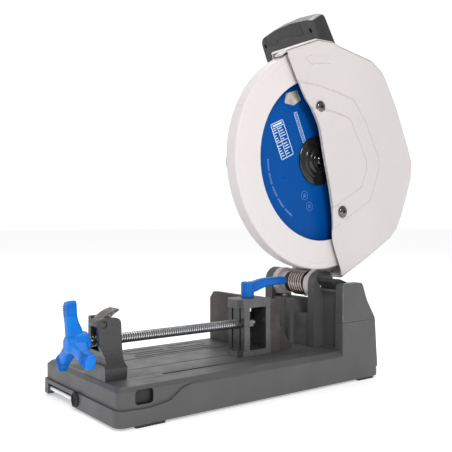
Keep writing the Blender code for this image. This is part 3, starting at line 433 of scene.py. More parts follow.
# Painted shade: a darker copy of the guard paint for rounded edges and the steps round the raised fields; its
# light patches are wear
GUARD_EDGE_SHADE = material("guard_paint_edge_shade", (0.53, 0.49, 0.485), 0.36, grain=(700, 0.00005),
                      wear_and_shading=((0.66, 0.62, 0.62), 0.2), specular=0.3)
BLACK = material("black_plastic", (0.02, 0.02, 0.021), 0.42, grain=(1100, 0.00009), blotch=(20, 0.2))
BLACK_EDGE = material("black_plastic_edge", (0.035, 0.035, 0.037), 0.36, grain=(1100, 0.00006))
GRIP = material("grip_plastic", (0.028, 0.0275, 0.029), 0.37, grain=(1500, 0.0001), blotch=(25, 0.15))
GRIP_EDGE = material("grip_plastic_edge", (0.05, 0.049, 0.051), 0.36, grain=(1500, 0.00008))
SOFT_GRIP = material("soft_grip", (0.03, 0.0295, 0.03), 0.62, grain=(900, 0.0002), sheen=0.15)
BLUE = material("blue_plastic", (0.0015, 0.17, 0.64), 0.36, grain=(1300, 0.00007), blotch=(30, 0.08),
                specular=0.22)
# Painted shade: a darker copy of the blue plastic, for the clamp lever and the star handle's ribs
BLUE_IN_SHADE = material("blue_plastic_in_shade", (0.0015, 0.12, 0.47), 0.34, grain=(1300, 0.00007),
                     blotch=(30, 0.08), specular=0.22)
BLUE_EDGE = material("blue_plastic_edge", (0.004, 0.21, 0.72), 0.32, grain=(1300, 0.00005), specular=0.25)
BLADE = material("blade_paint", (0.0008, 0.066, 0.285), 0.34, grain=(1600, 0.00004),
                 blotch=(12, 0.1), stretch=(1, 0.25, 1), specular=0.1)
STEEL = material("bare_steel", (0.56, 0.565, 0.58), 0.26, metallic=1.0, grain=(600, 0.00003),
                 stretch=(1, 6, 1), blotch=(50, 0.12))
ZINC = material("zinc_plate", (0.72, 0.73, 0.75), 0.22, metallic=1.0, grain=(900, 0.00003),
                blotch=(80, 0.1), uneven=(200, 0.08))
# Painted shade: darker steel for the thread's flanks and roots; it is also the end nut's own dark steel
THREAD_SHADE_STEEL = material("thread_shade_steel", (0.16, 0.165, 0.17), 0.34, metallic=1.0, grain=(900, 0.00004),
                       blotch=(120, 0.25))
CHROME = material("dark_chrome", (0.16, 0.155, 0.15), 0.12, metallic=1.0, grain=(900, 0.00001),
                  uneven=(90, 0.05), blotch=(60, 0.12))
OXIDE = material("black_oxide", (0.085, 0.083, 0.082), 0.36, metallic=0.9, grain=(700, 0.00006),
                 blotch=(60, 0.2))
LEVER = material("cast_lever", (0.085, 0.076, 0.073), 0.42, metallic=0.35, grain=(800, 0.00012),
                 blotch=(60, 0.25), wear_and_shading=((0.3, 0.28, 0.27), 0.25))
SPRING = material("spring_steel", (0.52, 0.43, 0.39), 0.24, metallic=1.0, grain=(900, 0.00004),
                  blotch=(90, 0.25))
IRON = material("rough_iron", (0.066, 0.056, 0.054), 0.6, grain=(480, 0.0004),
                blotch=(35, 0.3), uneven=(120, 0.1), specular=0.3)
IRON_EDGE = material("rough_iron_edge", (0.12, 0.112, 0.108), 0.5, metallic=0.3, grain=(480, 0.0003),
                     wear_and_shading=((0.2, 0.19, 0.18), 0.35))
CAST_SATIN = material("satin_casting", (0.036, 0.0355, 0.036), 0.3, grain=(800, 0.00012), blotch=(30, 0.15))
CAST_SATIN_EDGE = material("satin_casting_edge", (0.085, 0.085, 0.087), 0.33, grain=(800, 0.0001),
                           wear_and_shading=((0.2, 0.2, 0.205), 0.25))
RUBBER = material("rubber", (0.018, 0.018, 0.018), 0.75, grain=(1000, 0.00015), blotch=(40, 0.2))
COPPER = material("copper", (0.52, 0.24, 0.12), 0.35, metallic=1.0, grain=(400, 0.0002), stretch=(1, 8, 8))
LAMINATION = material("lamination", (0.26, 0.25, 0.24), 0.45, metallic=0.9, grain=(900, 0.0002),
                      stretch=(8, 1, 1))
PRINT = material("white_print", (0.6, 0.72, 0.86), 0.45, grain=(1200, 0.00003), blotch=(150, 0.15),
                 specular=0.2)
PALE_PRINT = material("grey_print", (0.46, 0.47, 0.5), 0.45, grain=(1200, 0.00003), blotch=(60, 0.2))
PATCH_PRINT = material("panel_print", (0.4, 0.36, 0.33), 0.45, grain=(1200, 0.00003), blotch=(60, 0.5))
FLANGE = material("flange_oxide", (0.045, 0.044, 0.044), 0.17, metallic=0.75, grain=(600, 0.00004),
                  blotch=(60, 0.2))
FAINT_PRINT = material("faint_print", (0.08, 0.2, 0.46), 0.4, grain=(1200, 0.00003), blotch=(150, 0.2))


# ---- base -------------------------------------------------------------------------------------------
def plan(inset, corner=0.016):
    """The base's outline seen from above; its left corners are tighter than its right ones."""
    x, back = BASE_WIDTH / 2 - inset, BASE_LENGTH - inset
    tight = 0.6 * corner
    return rounded([(-x, inset), (x, inset), (x, back), (-x, back)], [tight, corner, corner, tight], 8)


def stacked(levels, corner=0.016):
    """A solid through the base's outline at (height, inset) pairs."""
    return loft([[(x, y, z) for x, y in plan(inset, corner)] for z, inset in levels])


def front_scoop():
    """What the scooped upper part of the skirt's front leaves out of the full outline."""
    step = rounded([(-0.02, 0.0285), (0.048, 0.0255), (0.084, 0.03), (0.106, 0.045), (0.122, 0.049),
                    (0.15, 0.051), (0.15, 0.08), (-0.02, 0.08)],
                   [0, 0.06, 0.02, 0.02, 0.02, 0, 0, 0], 7)
    band = prism("X", step, -0.2, 0.2)
    return cut(band, stacked(((0, 0.0035), (0.1, 0.0035)), 0.013))


def table_pad(x, y, half_width, half_length):
    """A raised outline on the table, round at both ends."""
    def ring(grow, z):
        w, h = half_width + grow, half_length + grow
        front, back = arc((x, y - h + w), w, 180, 360, 12), arc((x, y + h - w), w, 0, 180, 12)
        return [(a, b, z) for a, b in front + back]
    top, foot = TABLE + 0.0008, TABLE - 0.001
    return loft([ring(0, foot), ring(0, TABLE), ring(-0.0005, top), ring(-0.0025, top),
                 ring(-0.003, TABLE + 0.0002), ring(-0.003, foot)])


POCKET = (0.029, 0.058), (0.0315, 0.0525)


def pocket(side):
    """The hand hold in the skirt's left (-1) or right (1) side, with a flared rim."""
    rings = []
    for depth, grow in ((0.13, 0.0022), (0.1262, 0.001), (0.1248, 0.0), (0.1182, -0.0012)):
        spots = panel(*[(low - grow, high + grow) for low, high in POCKET], 0.006 + grow, 6)
        rings.append([(side * depth, a, b) for a, b in spots])
    return loft(rings)


def in_pocket(spot):
    """Whether a spot lies inside a hand hold, behind its rim."""
    x, y, z = spot
    return 0.1175 < abs(x) < 0.1252 and 0.027 < y < 0.06 and 0.0295 < z < 0.0545


def table_marks():
    """Smooth pads and grip bars raised from the table's top."""
    marks = [table_pad(-0.088, 0.165, 0.013, 0.04), table_pad(-0.088, 0.255, 0.013, 0.04),
             table_pad(-0.056, 0.21, 0.009, 0.08)]
    for k in range(7):
        y = 0.016 + 0.0042 * k
        marks.append(bevelled(box((-0.062, -0.018), (y, y + 0.0016), (TABLE - 0.001, TABLE + 0.0007)),
                              0.0003, 1))
    return marks


def wall_ribs():
    """Ribs on the inside of the skirt's side walls."""
    ribs = []
    for k in range(4):
        y = 0.15 + 0.075 * k
        for x in ((-0.117, -0.107), (0.107, 0.117)):
            ribs.append(box(x, (y, y + 0.004), (0.006, 0.0525)))
    return ribs


def base_casting():
    base = stacked(((0.004, 0.0006), (0.0046, 0.0), (0.047, 0.0006), (0.0482, 0.0009), (0.0491, 0.0014),
                    (0.0499, 0.0022), (0.056, 0.0079), (0.0566, 0.0087), (0.0569, 0.0095), (0.057, 0.0105)))
    cut(base, front_scoop())
    side = rounded([(0.436, 0.02), (0.5275, 0.02), (0.5205, TOWER_SEAM), (0.499, 0.141),
                    (0.486, BLOCK_TOP), (0.436, BLOCK_TOP)], [0, 0, 0.003, 0.008, 0.006, 0.004], 5)
    tower = bevelled(prism("X", side, 0.0565, 0.1268), 0.0016, 3)
    join(base, tower)
    y, z = PIVOT
    lug = [(0.47, 0.054), (0.47, z)] + arc((y, z), 0.025, 0, 180, 32) + [(y - 0.025, 0.054)]
    join(base, bevelled(prism("X", lug, 0.0565, 0.0725), 0.0012, 3))
    cut(base, box((0.1092, 0.2), (0.4, 0.6), (TOWER_SEAM, 0.3)))
    cut(base, box((0.0728, 0.1089), (0.4, 0.442), (0.0605, 0.158)))
    cut(base, prism("Z", plan(0.011, 0.01), -0.01, TABLE - 0.005))
    cut(base, box((0.0785, 0.1035), (0.4475, 0.485), (-0.01, BLOCK_TOP - 0.006)))
    cut(base, box((0.0785, 0.1035), (0.484, 0.512), (-0.01, 0.096)))
    cut(base, drum("X", PIVOT, 0.0101, 0.04, 0.074, 40))
    cut(base, prism("Z", panel((0.0757, 0.0837), (0.1, 0.388), 0.0039, 6), 0.02, 0.08))
    for x, wide, deep, far in ((0.0265, 0.003, 0.0014, 0.4), (-0.0385, 0.003, 0.0014, 0.4),
                               (0.069, 0.0012, 0.0008, 0.41), (0.089, 0.0012, 0.0008, 0.426)):
        line = panel((x, x + wide), (0.05, far), wide * 0.48, 3)
        cut(base, prism("Z", line, TABLE - deep, 0.08))
    cut(base, box((-0.108, -0.017), (-0.02, 0.02), (-0.02, 0.0215)))
    cut(base, pocket(-1), pocket(1))
    cut(base, drum("Y", (-0.0035, 0.0175), 0.0113, -0.01, 0.0075, 40))
    cut(base, drum("X", (0.007, 0.013), 0.0045, -0.1158, -0.015, 24))
    bevelled(base, 0.0006, 2)
    # Painted shade: the faces inside the hand holds take the near-black third look
    for polygon in base.data.polygons:
        if in_pocket(polygon.center):
            polygon.material_index = 2
    merged(base, *table_marks(), *wall_ribs())
    piece(base, "base_skirt_and_table", "base", [BASE, BASE_EDGE, POCKET_SHADE], ["base_casting"])


def tower_cap():
    side = rounded([(0.436, TOWER_SEAM + GAP), (0.5207, TOWER_SEAM + GAP), (0.518, 0.112), (0.499, 0.141),
                    (0.486, 0.1735), (0.436, 0.1735)], [0, 0, 0.004, 0.008, 0.009, 0.007], 6)
    cap = bevelled(prism("X", side, 0.1095, 0.1268), 0.0038, 4)
    piece(cap, "tower_cap_cover", "base", [BASE, BASE_EDGE], ["tower_cap"])


def front_rod():
    """A bar with shallow turned grooves, and the boss that holds it."""
    profile, x, stop = [(-0.1155, 0)], -0.1155, -0.0155
    while x < stop - 0.004:
        profile += [(x, 0.0042), (x + 0.0022, 0.0042), (x + 0.0026, 0.0036), (x + 0.0034, 0.0036)]
        x += 0.0038
    profile += [(x, 0.0042), (stop, 0.0042), (stop, 0)]
    piece(turned("X", (0.007, 0.013), profile, 32), "lift_rod", "base", ZINC, ["front_rod"])
    boss = turned("Y", (-0.0035, 0.0175),
                  [(0.0072, 0), (0.0072, 0.011), (-0.0018, 0.011), (-0.0026, 0.0107), (-0.003, 0.01),
                   (-0.003, 0.0086), (-0.0024, 0.008), (-0.0008, 0.0078), (-0.0004, 0.007),
                   (-0.001, 0.006), (-0.001, 0.0024), (0.0006, 0.0018), (0.0006, 0)], 48)
    piece(boss, "rod_boss_plug", "base", RUBBER, ["rod_boss"])


def feet():
    """Rubber strips with cross grooves underneath."""
    for side, x in (("left", -0.1215), ("right", 0.1215)):
        for end, low, high in (("front", 0.03, 0.078), ("rear", 0.478, 0.518)):
            foot = prism("Z", panel((x - 0.004, x + 0.004), (low, high), 0.0035), 0.0, BASE_BOTTOM - GAP)
            y = low + 0.007
            while y < high - 0.006:
                cut(foot, box((x - 0.01, x + 0.01), (y, y + 0.0012), (-0.01, 0.0009)))
                y += 0.0055
            name = f"foot_{end}_{side}"
            piece(foot, name + "_pad", "base", RUBBER, [name])


# ---- hinge ------------------------------------------------------------------------------------------
def pivot_bracket():
    bracket = bevelled(copied("pivot_bracket"), 0.0012, 2)
    boss = turned("X", PIVOT, [(-0.06, 0.0102), (-0.06, 0.015), (-0.0606, 0.0156), (-0.0606, 0.0102)], 48)
    foot_bolt = (-0.069, 0.446)
    head = prism("Z", hexagon(foot_bolt, 0.011), 0.0665, 0.0715)
    washer = drum("Z", foot_bolt, 0.0082, 0.0655, 0.0669, 32, 0.0004)
    merged(bracket, boss, painted(bevelled(head, 0.0006, 2, wear_and_shading=2), 2), painted(washer, 2))
    piece(bracket, "hinge_bracket", "base", [CAST, CAST_EDGE, ZINC], ["pivot_bracket"])
    shaft = turned("X", PIVOT, [(-0.0625, 0), (-0.0625, 0.0088), (-0.0615, 0.0098), (0.0716, 0.0098),
                                (0.0726, 0.009), (0.0726, 0)], 48)
    cut(shaft, prism("X", hexagon(PIVOT, 0.008), -0.0725, -0.0585))
    piece(shaft, "hinge_shaft", "base", ZINC, ["pivot_shaft"])


def coil(wire, radius, low, high, turns, ends):
    """A wire wound round the hinge, with both ends drawn out as straight legs."""
    steps, sides = 36, 10
    y, z = PIVOT
    line = []
    total = int(turns * steps)
    for i in range(total + 1):
        t = 2 * math.pi * turns * i / total - math.pi / 2
        x = low + (high - low) * i / total
        line.append(Vector((x, y + radius * math.cos(t), z + radius * math.sin(t))))
    line = [Vector(ends[0])] + line + [Vector(ends[1])]
    rings = []
    for i, p in enumerate(line):
        along = (line[min(i + 1, len(line) - 1)] - line[max(i - 1, 0)]).normalized()
        side = along.cross(Vector((1, 0, 0)))
        side = side.normalized() if side.length > 0.1 else along.cross(Vector((0, 0, 1))).normalized()
        other = along.cross(side)
        rings.append([tuple(p + wire * (math.cos(a) * side + math.sin(a) * other))
                      for a in (2 * math.pi * k / sides for k in range(sides))])
    return loft(rings)


def hinge_spring():
    y, z = PIVOT
    spring = coil(0.00172, 0.0214, -0.0015, 0.035, 6.0,
                  ((-0.0022, y + 0.012, z - 0.0214), (0.0357, y - 0.012, z - 0.0214)))
    piece(spring, "hinge_spring", "base", SPRING, ["torsion_spring"])
    sleeve = turned("X", PIVOT, [(-0.0137, 0.0102), (-0.004, 0.0102), (-0.004, 0.016), (-0.0046, 0.0166),
                                 (-0.007, 0.0186), (-0.008, 0.0191), (-0.01, 0.0192), (-0.0104, 0.0186),
                                 (-0.011, 0.0186), (-0.0114, 0.0192), (-0.0133, 0.0192), (-0.0137, 0.0188)],
                    48)
    # Painted shade: a black core under the coil, so that the gaps between its turns show dark
    core = tube("X", PIVOT, 0.0102, 0.0182, -0.0042, 0.0362, 48)
    sleeve = merged(sleeve, core)
    piece(sleeve, "spring_sleeve", "base", BLACK, ["spring_collar"])


def thread(axis, centre, core, crest, low, high, pitch, steps=24):
    """A screw thread from low to high along an axis, as a closed skin with flat ends."""
    turns = (high - low) / pitch
    total = int(turns * steps)
    shape = ((0.0, core), (0.3, crest), (0.55, crest), (0.85, core))
    bm = bmesh.new()
    rows = []
    for i in range(total + 1):
        t = 2 * math.pi * i / steps
        at = low + pitch * i / steps
        rows.append([bm.verts.new(place(axis, min(max(at + pitch * (part - 0.5), low), high),
                                        centre[0] + r * math.cos(t), centre[1] + r * math.sin(t)))
                     for part, r in shape])
    # Painted shade: the flanks and the root take material 1, the darker steel; the crest takes material 0
    for one, two in zip(rows, rows[1:]):
        for k in range(3):
            bm.faces.new((one[k], one[k + 1], two[k + 1], two[k])).material_index = 0 if k == 1 else 1
    for i in range(total + 1 - steps):
        if i + 1 + steps <= total:
            face = bm.faces.new((rows[i][3], rows[i + steps][0], rows[i + steps + 1][0], rows[i + 1][3]))
            face.material_index = 1
    return solid(bm)


def stop_bolt():
    centre = (-0.02, 0.433)
    rod = drum("Z", centre, 0.0026, 0.112, 0.1446, 24, 0.0005)
    turns = thread("Z", centre, 0.0025, 0.003, 0.112, 0.144, 0.001, 20)
    nut = bevelled(prism("Z", hexagon(centre, 0.01), 0.1393, 0.1425), 0.0004, 2, wear_and_shading=0)
    tip = turned("Z", centre, [(0.1438, 0), (0.1438, 0.0034), (0.1444, 0.0036), (0.1448, 0.0028),
                               (0.1448, 0)], 24)
    piece(merged(rod, turns, nut, tip), "stop_bolt", "base", ZINC, ["depth_stop_bolt"])


def lock_pin():
    y, z = 0.466, 0.1
    knob = rounded([(y - 0.008, z - 0.006), (y + 0.006, z - 0.006), (y + 0.013, z + 0.033),
                    (y + 0.006, z + 0.036)], 0.0045, 6)
    grip = bevelled(prism("X", knob, 0.034, 0.04), 0.0011, 3, wear_and_shading=0)
    pin = drum("X", (y, z), 0.004, 0.003, 0.0385, 32, 0.0006)
    piece(merged(grip, pin), "carry_pin", "transport_pin", OXIDE, ["lock_pin"])


def deflector():
    plate = bevelled(copied("chip_deflector"), 0.0006, 2)
    piece(plate, "spark_deflector", "base", [BLACK, BLACK_EDGE], ["chip_deflector"])


# ---- fence and vise ---------------------------------------------------------------------------------
def hex_bolt(axis, centre, low, across, tall, washer):
    """A washer and a chamfered hexagon head, with a dished face."""
    head = prism(axis, hexagon(centre, across), low + 0.0014, low + 0.0014 + tall)
    cone = turned(axis, centre, [(low, 0), (low, across), (low + 0.001 + tall, across * 0.545),
                                 (low + 0.0014 + tall, across * 0.5), (low + 0.0014 + tall, 0)], 48)
    boolean(head, cone, "INTERSECT")
    cut(head, drum(axis, centre, across * 0.34, low + 0.001 + tall, low + 0.01 + tall, 32))
    ring = tube(axis, centre, across * 0.3, washer, low, low + 0.0015, 40)
    return merged(bevelled(head, 0.0002, 1, wear_and_shading=0), bevelled(ring, 0.0003, 2, wear_and_shading=0))


def fence():
    plate = bevelled(copied("fence"), 0.0013, 2)
    piece(plate, "fence_plate", "base", [IRON, IRON_EDGE], ["fence"])
    for side, x in (("left", -0.062), ("right", 0.008)):
        bolt = merged(hex_bolt("Z", (x, 0.369), 0.0673, 0.013, 0.0058, 0.0095),
                      drum("Z", (x, 0.369), 0.004, TABLE + GAP, 0.07, 24))
        piece(bolt, f"fence_screw_{side}", "base", ZINC, [f"fence_bolt_{side}"])


def nut_block():
    """A foot with a curved front that rises to two cheeks, the right one further forward."""
    low = TABLE + GAP
    side = rounded([(0.0085, low), (0.043, low), (0.044, 0.074), (0.0402, 0.083), (0.0392, 0.098),
                    (0.0378, 0.1455), (0.003, 0.1455), (0.002, 0.12), (0.004, 0.105), (0.011, 0.09),
                    (0.012, 0.08), (0.0085, 0.079)],
                   [0, 0, 0.004, 0.009, 0.02, 0.011, 0.007, 0.02, 0.02, 0.01, 0.003, 0.001], 6)
    right = [(0.0755, low), (0.0755, 0.0745), (0.0742, 0.0775), (0.0722, 0.0815), (0.0706, 0.087),
             (0.0696, 0.094), (0.069, 0.101), (0.0686, 0.112), (0.0685, 0.1455)]
    left = [(0.0234, 0.1455), (0.023, 0.112), (0.0215, 0.102), (0.019, 0.0925), (0.015, 0.0845),
            (0.0091, 0.079), (0.0091, low)]
    block = prism("X", side, -0.02, 0.1)
    front = rounded(right + left, [0, 0.001, 0.002, 0.01, 0.01, 0.01, 0.01, 0, 0, 0, 0.02, 0.02, 0.02, 0.01,
                                   0.002, 0], 3)
    boolean(block, prism("Y", front, -0.02, 0.08), "INTERSECT")
    cut(block, box((0.0316, 0.062), (-0.02, 0.08), (0.098, 0.2)))
    cut(block, box((0.0, 0.04), (-0.02, 0.008), (0.098, 0.2)))
    pin = yz("release_pin")
    cut(block, drum("X", pin, 0.0052, 0.0655, 0.09, 32))
    cut(block, drum("X", pin, 0.0033, 0.0, 0.1, 24))
    bevelled(block, 0.001, 3)
    piece(block, "nut_housing", "base", [CAST_SATIN, CAST_SATIN_EDGE], ["nut_block"])
    rod = turned("X", pin, [(0.024, 0), (0.024, 0.003), (0.066, 0.003), (0.066, 0.0046), (0.0664, 0.0048),
                            (0.0672, 0.0047), (0.0676, 0.004), (0.0676, 0.0022), (0.0671, 0.0018),
                            (0.0671, 0)], 32)
    piece(rod, "lever_pin", "base", OXIDE, ["release_pin"])


def release_lever():
    """A roll on the pin with a ribbed thumb tongue that curves up and back."""
    y, z = yz("release_pin")
    over = rounded([(0.0105, 0.1434), (0.0165, 0.1475), (0.024, 0.1525), (0.034, 0.156), (0.0385, 0.1568),
                    (0.0395, 0.1545), (0.033, 0.1508), (0.0265, 0.1462), (0.0205, 0.14), (0.0165, 0.1322),
                    (0.0125, 0.1308)], [0, 0.02, 0.03, 0.02, 0.001, 0.001, 0.02, 0.03, 0.02, 0.006, 0], 5)
    outline = arc((y, z), 0.0064, 270, 90, 18)[:-1] + over
    lever = prism("X", outline, 0.0345, 0.0605)
    cut(lever, drum("X", (y, z), 0.0033, 0.0, 0.1, 32))
    cut(lever, box((0.04, 0.055), (0.0165, 0.03), (0.13, 0.14)))
    bevelled(lever, 0.0011, 3, wear_and_shading=1)
    piece(lever, "thumb_lever", "quick_release", [LEVER, LEVER], ["release_lever"])
    nut = bevelled(copied("half_nut"), 0.0005, 2, wear_and_shading=0)
    piece(nut, "half_nut_block", "quick_release", STEEL, ["half_nut"])


def vise_screw():
    core = turned("Y", SCREW, [(-0.01, 0), (-0.01, 0.006), (0.002, 0.006), (0.003, 0.0064),
                               (0.279, 0.0064), (0.281, 0.0058), (0.306, 0.0058), (0.307, 0.0052),
                               (0.307, 0)], 40)
    spiral = thread("Y", SCREW, 0.0063, 0.0078, 0.003, 0.279, 0.004, 36)
    # The darker second look is the painted shade in the thread's flanks and roots
    piece(merged(core, spiral), "lead_screw", "screw", [ZINC, THREAD_SHADE_STEEL], ["vise_screw"])
    nut = bevelled(copied("screw_end_nut"), 0.0009, 2, wear_and_shading=0)
    piece(nut, "end_nut", "screw", THREAD_SHADE_STEEL, ["screw_end_nut"])


def vise_handle():
    """A hub with three arms that widen to flat finger pads, ribbed across."""
    x, z = SCREW
    hub = turned("Y", SCREW, [(-0.035, 0), (-0.035, 0.0095), (-0.0342, 0.0112), (-0.0325, 0.013),
                              (-0.023, 0.015), (-0.01, 0.016), (-0.005, 0.0162), (-0.0035, 0.0152),
                              (-0.0035, 0)], 40)
    ribs = []
    for lean in (-12, 108, 228):
        spin = spun("Y", math.radians(lean), (x, 0, z))
        sections = []
        for out, half, front, back in ((0.002, 0.0085, -0.0322, -0.008), (0.01, 0.0082, -0.0325, -0.0085),
                                       (0.02, 0.0077, -0.0325, -0.0105), (0.03, 0.0079, -0.0322, -0.0145),
                                       (0.038, 0.0088, -0.0319, -0.016), (0.045, 0.01, -0.0315, -0.0165),
                                       (0.053, 0.0106, -0.0307, -0.0163), (0.058, 0.0102, -0.0299, -0.0162),
                                       (0.06, 0.0092, -0.0291, -0.017), (0.0606, 0.007, -0.0275, -0.0185)):
            sections.append([(a, b, out) for a, b in panel((-half, half), (front, back), 0.004, 4)])
        join(hub, moved(loft(sections), spin))
        # Painted shade: the ribs take the darker copy of the blue
        for k in range(6):
            out = 0.0385 + 0.003 * k
            half, face = 0.0093 + 0.12 * (out - 0.0385), -0.0323 + 0.0005 * max(0, k - 3)
            band = prism("Z", panel((-half, half), (face, -0.0175), 0.004, 4), out, out + 0.0014)
            ribs.append(painted(moved(bevelled(band, 0.0003, 2, wear_and_shading=0), spin), 1))
    cut(hub, drum("Y", SCREW, 0.0063, -0.011, 0.01, 32))
    cast_round(hub, 0.45)
    piece(merged(painted(hub, 0), *ribs), "star_handle", "screw", [BLUE, BLUE_IN_SHADE],
          ["vise_handle"], 60)


def vise_jaw():
    jaw = bevelled(copied("vise_jaw"), 0.0011, 2)
    low, high = (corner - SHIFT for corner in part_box("vise_jaw"))
    # Painted shade: the faces deep inside the jaw's box, the walls of its cavity, take the darker satin
    # casting
    for polygon in jaw.data.polygons:
        spot, wall = polygon.center, 0.002
        if all(low[axis] + wall < spot[axis] < high[axis] - wall for axis in range(3)):
            polygon.material_index = 3
    marks = []
    centre = middle("jaw_lever_stud").xy
    for k in range(-4, 5):
        long = 0.0032 if k % 2 == 0 else 0.002
        spin = spun("Z", math.radians(-90 + 11 * k), (*centre, 0))
        mark = box((0.015, 0.015 + long), (-0.00025, 0.00025), (0.1518, 0.15215))
        marks.append(painted(moved(mark, spin), 2))
    merged(jaw, *marks)
    piece(jaw, "jaw_block", "jaw", [CAST, CAST_EDGE, PALE_PRINT, CAST_SATIN], ["vise_jaw"])


def jaw_lever():
    x, y = middle("jaw_lever_stud").xy
    hub = turned("Z", (x, y), [(0.1523, 0), (0.1523, 0.0108), (0.1528, 0.0112), (0.1765, 0.0112),
                               (0.1785, 0.0104), (0.1794, 0.009), (0.1797, 0)], 40)
    sections = []
    for out, half, low, high in ((0.0, 0.0085, 0.16, 0.179), (0.008, 0.0083, 0.1602, 0.1792),
                                 (0.016, 0.008, 0.1618, 0.1802), (0.026, 0.0074, 0.165, 0.1826),
                                 (0.036, 0.0071, 0.1675, 0.1838), (0.046, 0.007, 0.169, 0.1843),
                                 (0.06, 0.0071, 0.17, 0.1845), (0.072, 0.0072, 0.1705, 0.1845),
                                 (0.08, 0.007, 0.1709, 0.1841), (0.0845, 0.0062, 0.1717, 0.1833),
                                 (0.0865, 0.0046, 0.1735, 0.1815)):
        sections.append([(a, y + out, b) for a, b in panel((x - half, x + half), (low, high), 0.005)])
    join(hub, loft(sections))
    cut(hub, drum("Z", (x, y), 0.0043, 0.14, 0.17, 32))
    cast_round(hub, 0.5)
    screw = turned("Z", (x, y), [(0.179, 0), (0.179, 0.0046), (0.18, 0.0046), (0.1803, 0.004),
                                 (0.1803, 0.0016), (0.1797, 0.0014), (0.1797, 0)], 32)
    # Painted shade: the clamp lever takes the darker copy of the blue
    piece(merged(painted(hub, 0), painted(screw, 1)), "clamp_lever", "clamp_lever",
          [BLUE_IN_SHADE, ZINC], ["jaw_lever"], 60)
    stud = merged(drum("Z", (x, y), 0.004, 0.129, 0.169, 32, 0.0005),
                  bevelled(prism("Z", hexagon((x, y), 0.012), 0.1285, 0.1372), 0.0006, 2, wear_and_shading=0))
    piece(stud, "clamp_stud", "clamp_lever", ZINC, ["jaw_lever_stud"])


# ---- head: arm, gearbox, motor ----------------------------------------------------------------------
def head_arm():
    half = 0.025
    ring = arc(PIVOT, half, 150, 360, 42)
    neck = [(0.483, 0.195), (0.49, 0.3), (0.49, 0.345), (0.408, 0.345), (0.425, 0.285),
            (0.447, 0.235), (0.448, 0.198)]
    arm = prism("X", ring + neck, 0.0437, 0.0558)
    upright = [(0.448, 0.198), (0.47, 0.185), (0.483, 0.195)] + neck[1:6]
    join(arm, prism("X", upright, -0.014, 0.05))
    web = [(0.465, 0.15), (0.485, 0.148), (0.49, 0.205), (0.47, 0.205), (0.4745, 0.17)]
    join(arm, prism("X", web, -0.0395, 0.05))
    left = arc(PIVOT, half, -45, 225, 54) + [(0.43, 0.1445), (0.46, 0.1445)]
    join(arm, prism("X", left, -0.0399, -0.0275))
    join(arm, box((-0.0399, -0.0275), (0.458, 0.48), (0.15, 0.19)))
    join(arm, drum("X", PIVOT, 0.0185, -0.029, -0.0145, 48))
    finger = [(0.445, 0.16), (0.445, 0.175), (0.421, 0.172), (0.42, 0.166)]
    join(arm, prism("X", finger, -0.026, -0.014))
    hollow = rounded([(0.46, 0.215), (0.479, 0.215), (0.481, 0.325), (0.43, 0.325), (0.44, 0.275)],
                     0.006, 5)
    for low, high in ((-0.03, -0.007), (0.0528, 0.07)):
        cut(arm, prism("X", hollow, low, high))
    cut(arm, drum("X", PIVOT, 0.0101, -0.1, 0.1, 48))
    bevelled(arm, 0.0013, 3)
    piece(arm, "arm_casting", "head", [GUARD, GUARD_EDGE_SHADE], ["head_arm"])


def gearbox_outline(shrink=0.0):
    """Round the arbor and the motor's axis, with a straight foot on the arm."""
    front, rear = 0.03 - shrink, 0.042 - shrink
    foot = [(0.408 + shrink, 0.345 + GAP + shrink), (0.49 - shrink, 0.345 + GAP + shrink)]
    return foot + arc(MOTOR, rear, -10, 125, 36) + arc(ARBOR, front, 130, 200, 18)


def gearbox():
    left, split, right, nose = 0.018, 0.046, 0.0595, 0.0378
    button = yz("spindle_lock_button")
    housing = prism("X", gearbox_outline(), left, split - GAP)
    cut(housing, prism("X", gearbox_outline(0.0035), left + 0.005, split + 0.01))
    cut(housing, drum("X", ARBOR, 0.0083, left + 0.001, left + 0.02, 32))
    cut(housing, drum("X", MOTOR, 0.008, left - 0.01, left + 0.02, 32))
    cut(housing, drum("X", button, 0.0037, left - 0.01, left + 0.02, 24))
    for k in range(5):
        x = left + 0.0065 + 0.0042 * k
        cut(housing, tube("X", MOTOR, 0.0414, 0.06, x, x + 0.0012, 64))
    bevelled(housing, 0.0007, 2)
    piece(housing, "gearcase", "head", [GUARD, GUARD_EDGE_SHADE], ["gearbox_housing"])

    cover = prism("X", gearbox_outline(), split, right)
    join(cover, drum("X", ARBOR, nose, split + 0.005, 0.0715, 72))
    cut(cover, drum("X", ARBOR, 0.0213, split + 0.004, 0.062, 40))
    cut(cover, drum("X", ARBOR, 0.0135, split - 0.01, 0.08, 40))
    cut(cover, tube("X", ARBOR, 0.017, 0.033, 0.0703, 0.08, 64))
    bevelled(cover, 0.001, 3)
    screws = []
    for t in (20, 75, 130, 185, 240, 295):
        a, b = arc(ARBOR, 0.0354, t, t, 1)[0]
        screws.append(painted(drum("X", (a, b), 0.0017, 0.07, 0.0716, 20, 0.0003), 2))
    piece(merged(cover, *screws), "gearcase_cover", "head", [GUARD, GUARD_EDGE_SHADE, OXIDE],
          ["gearbox_cover"])


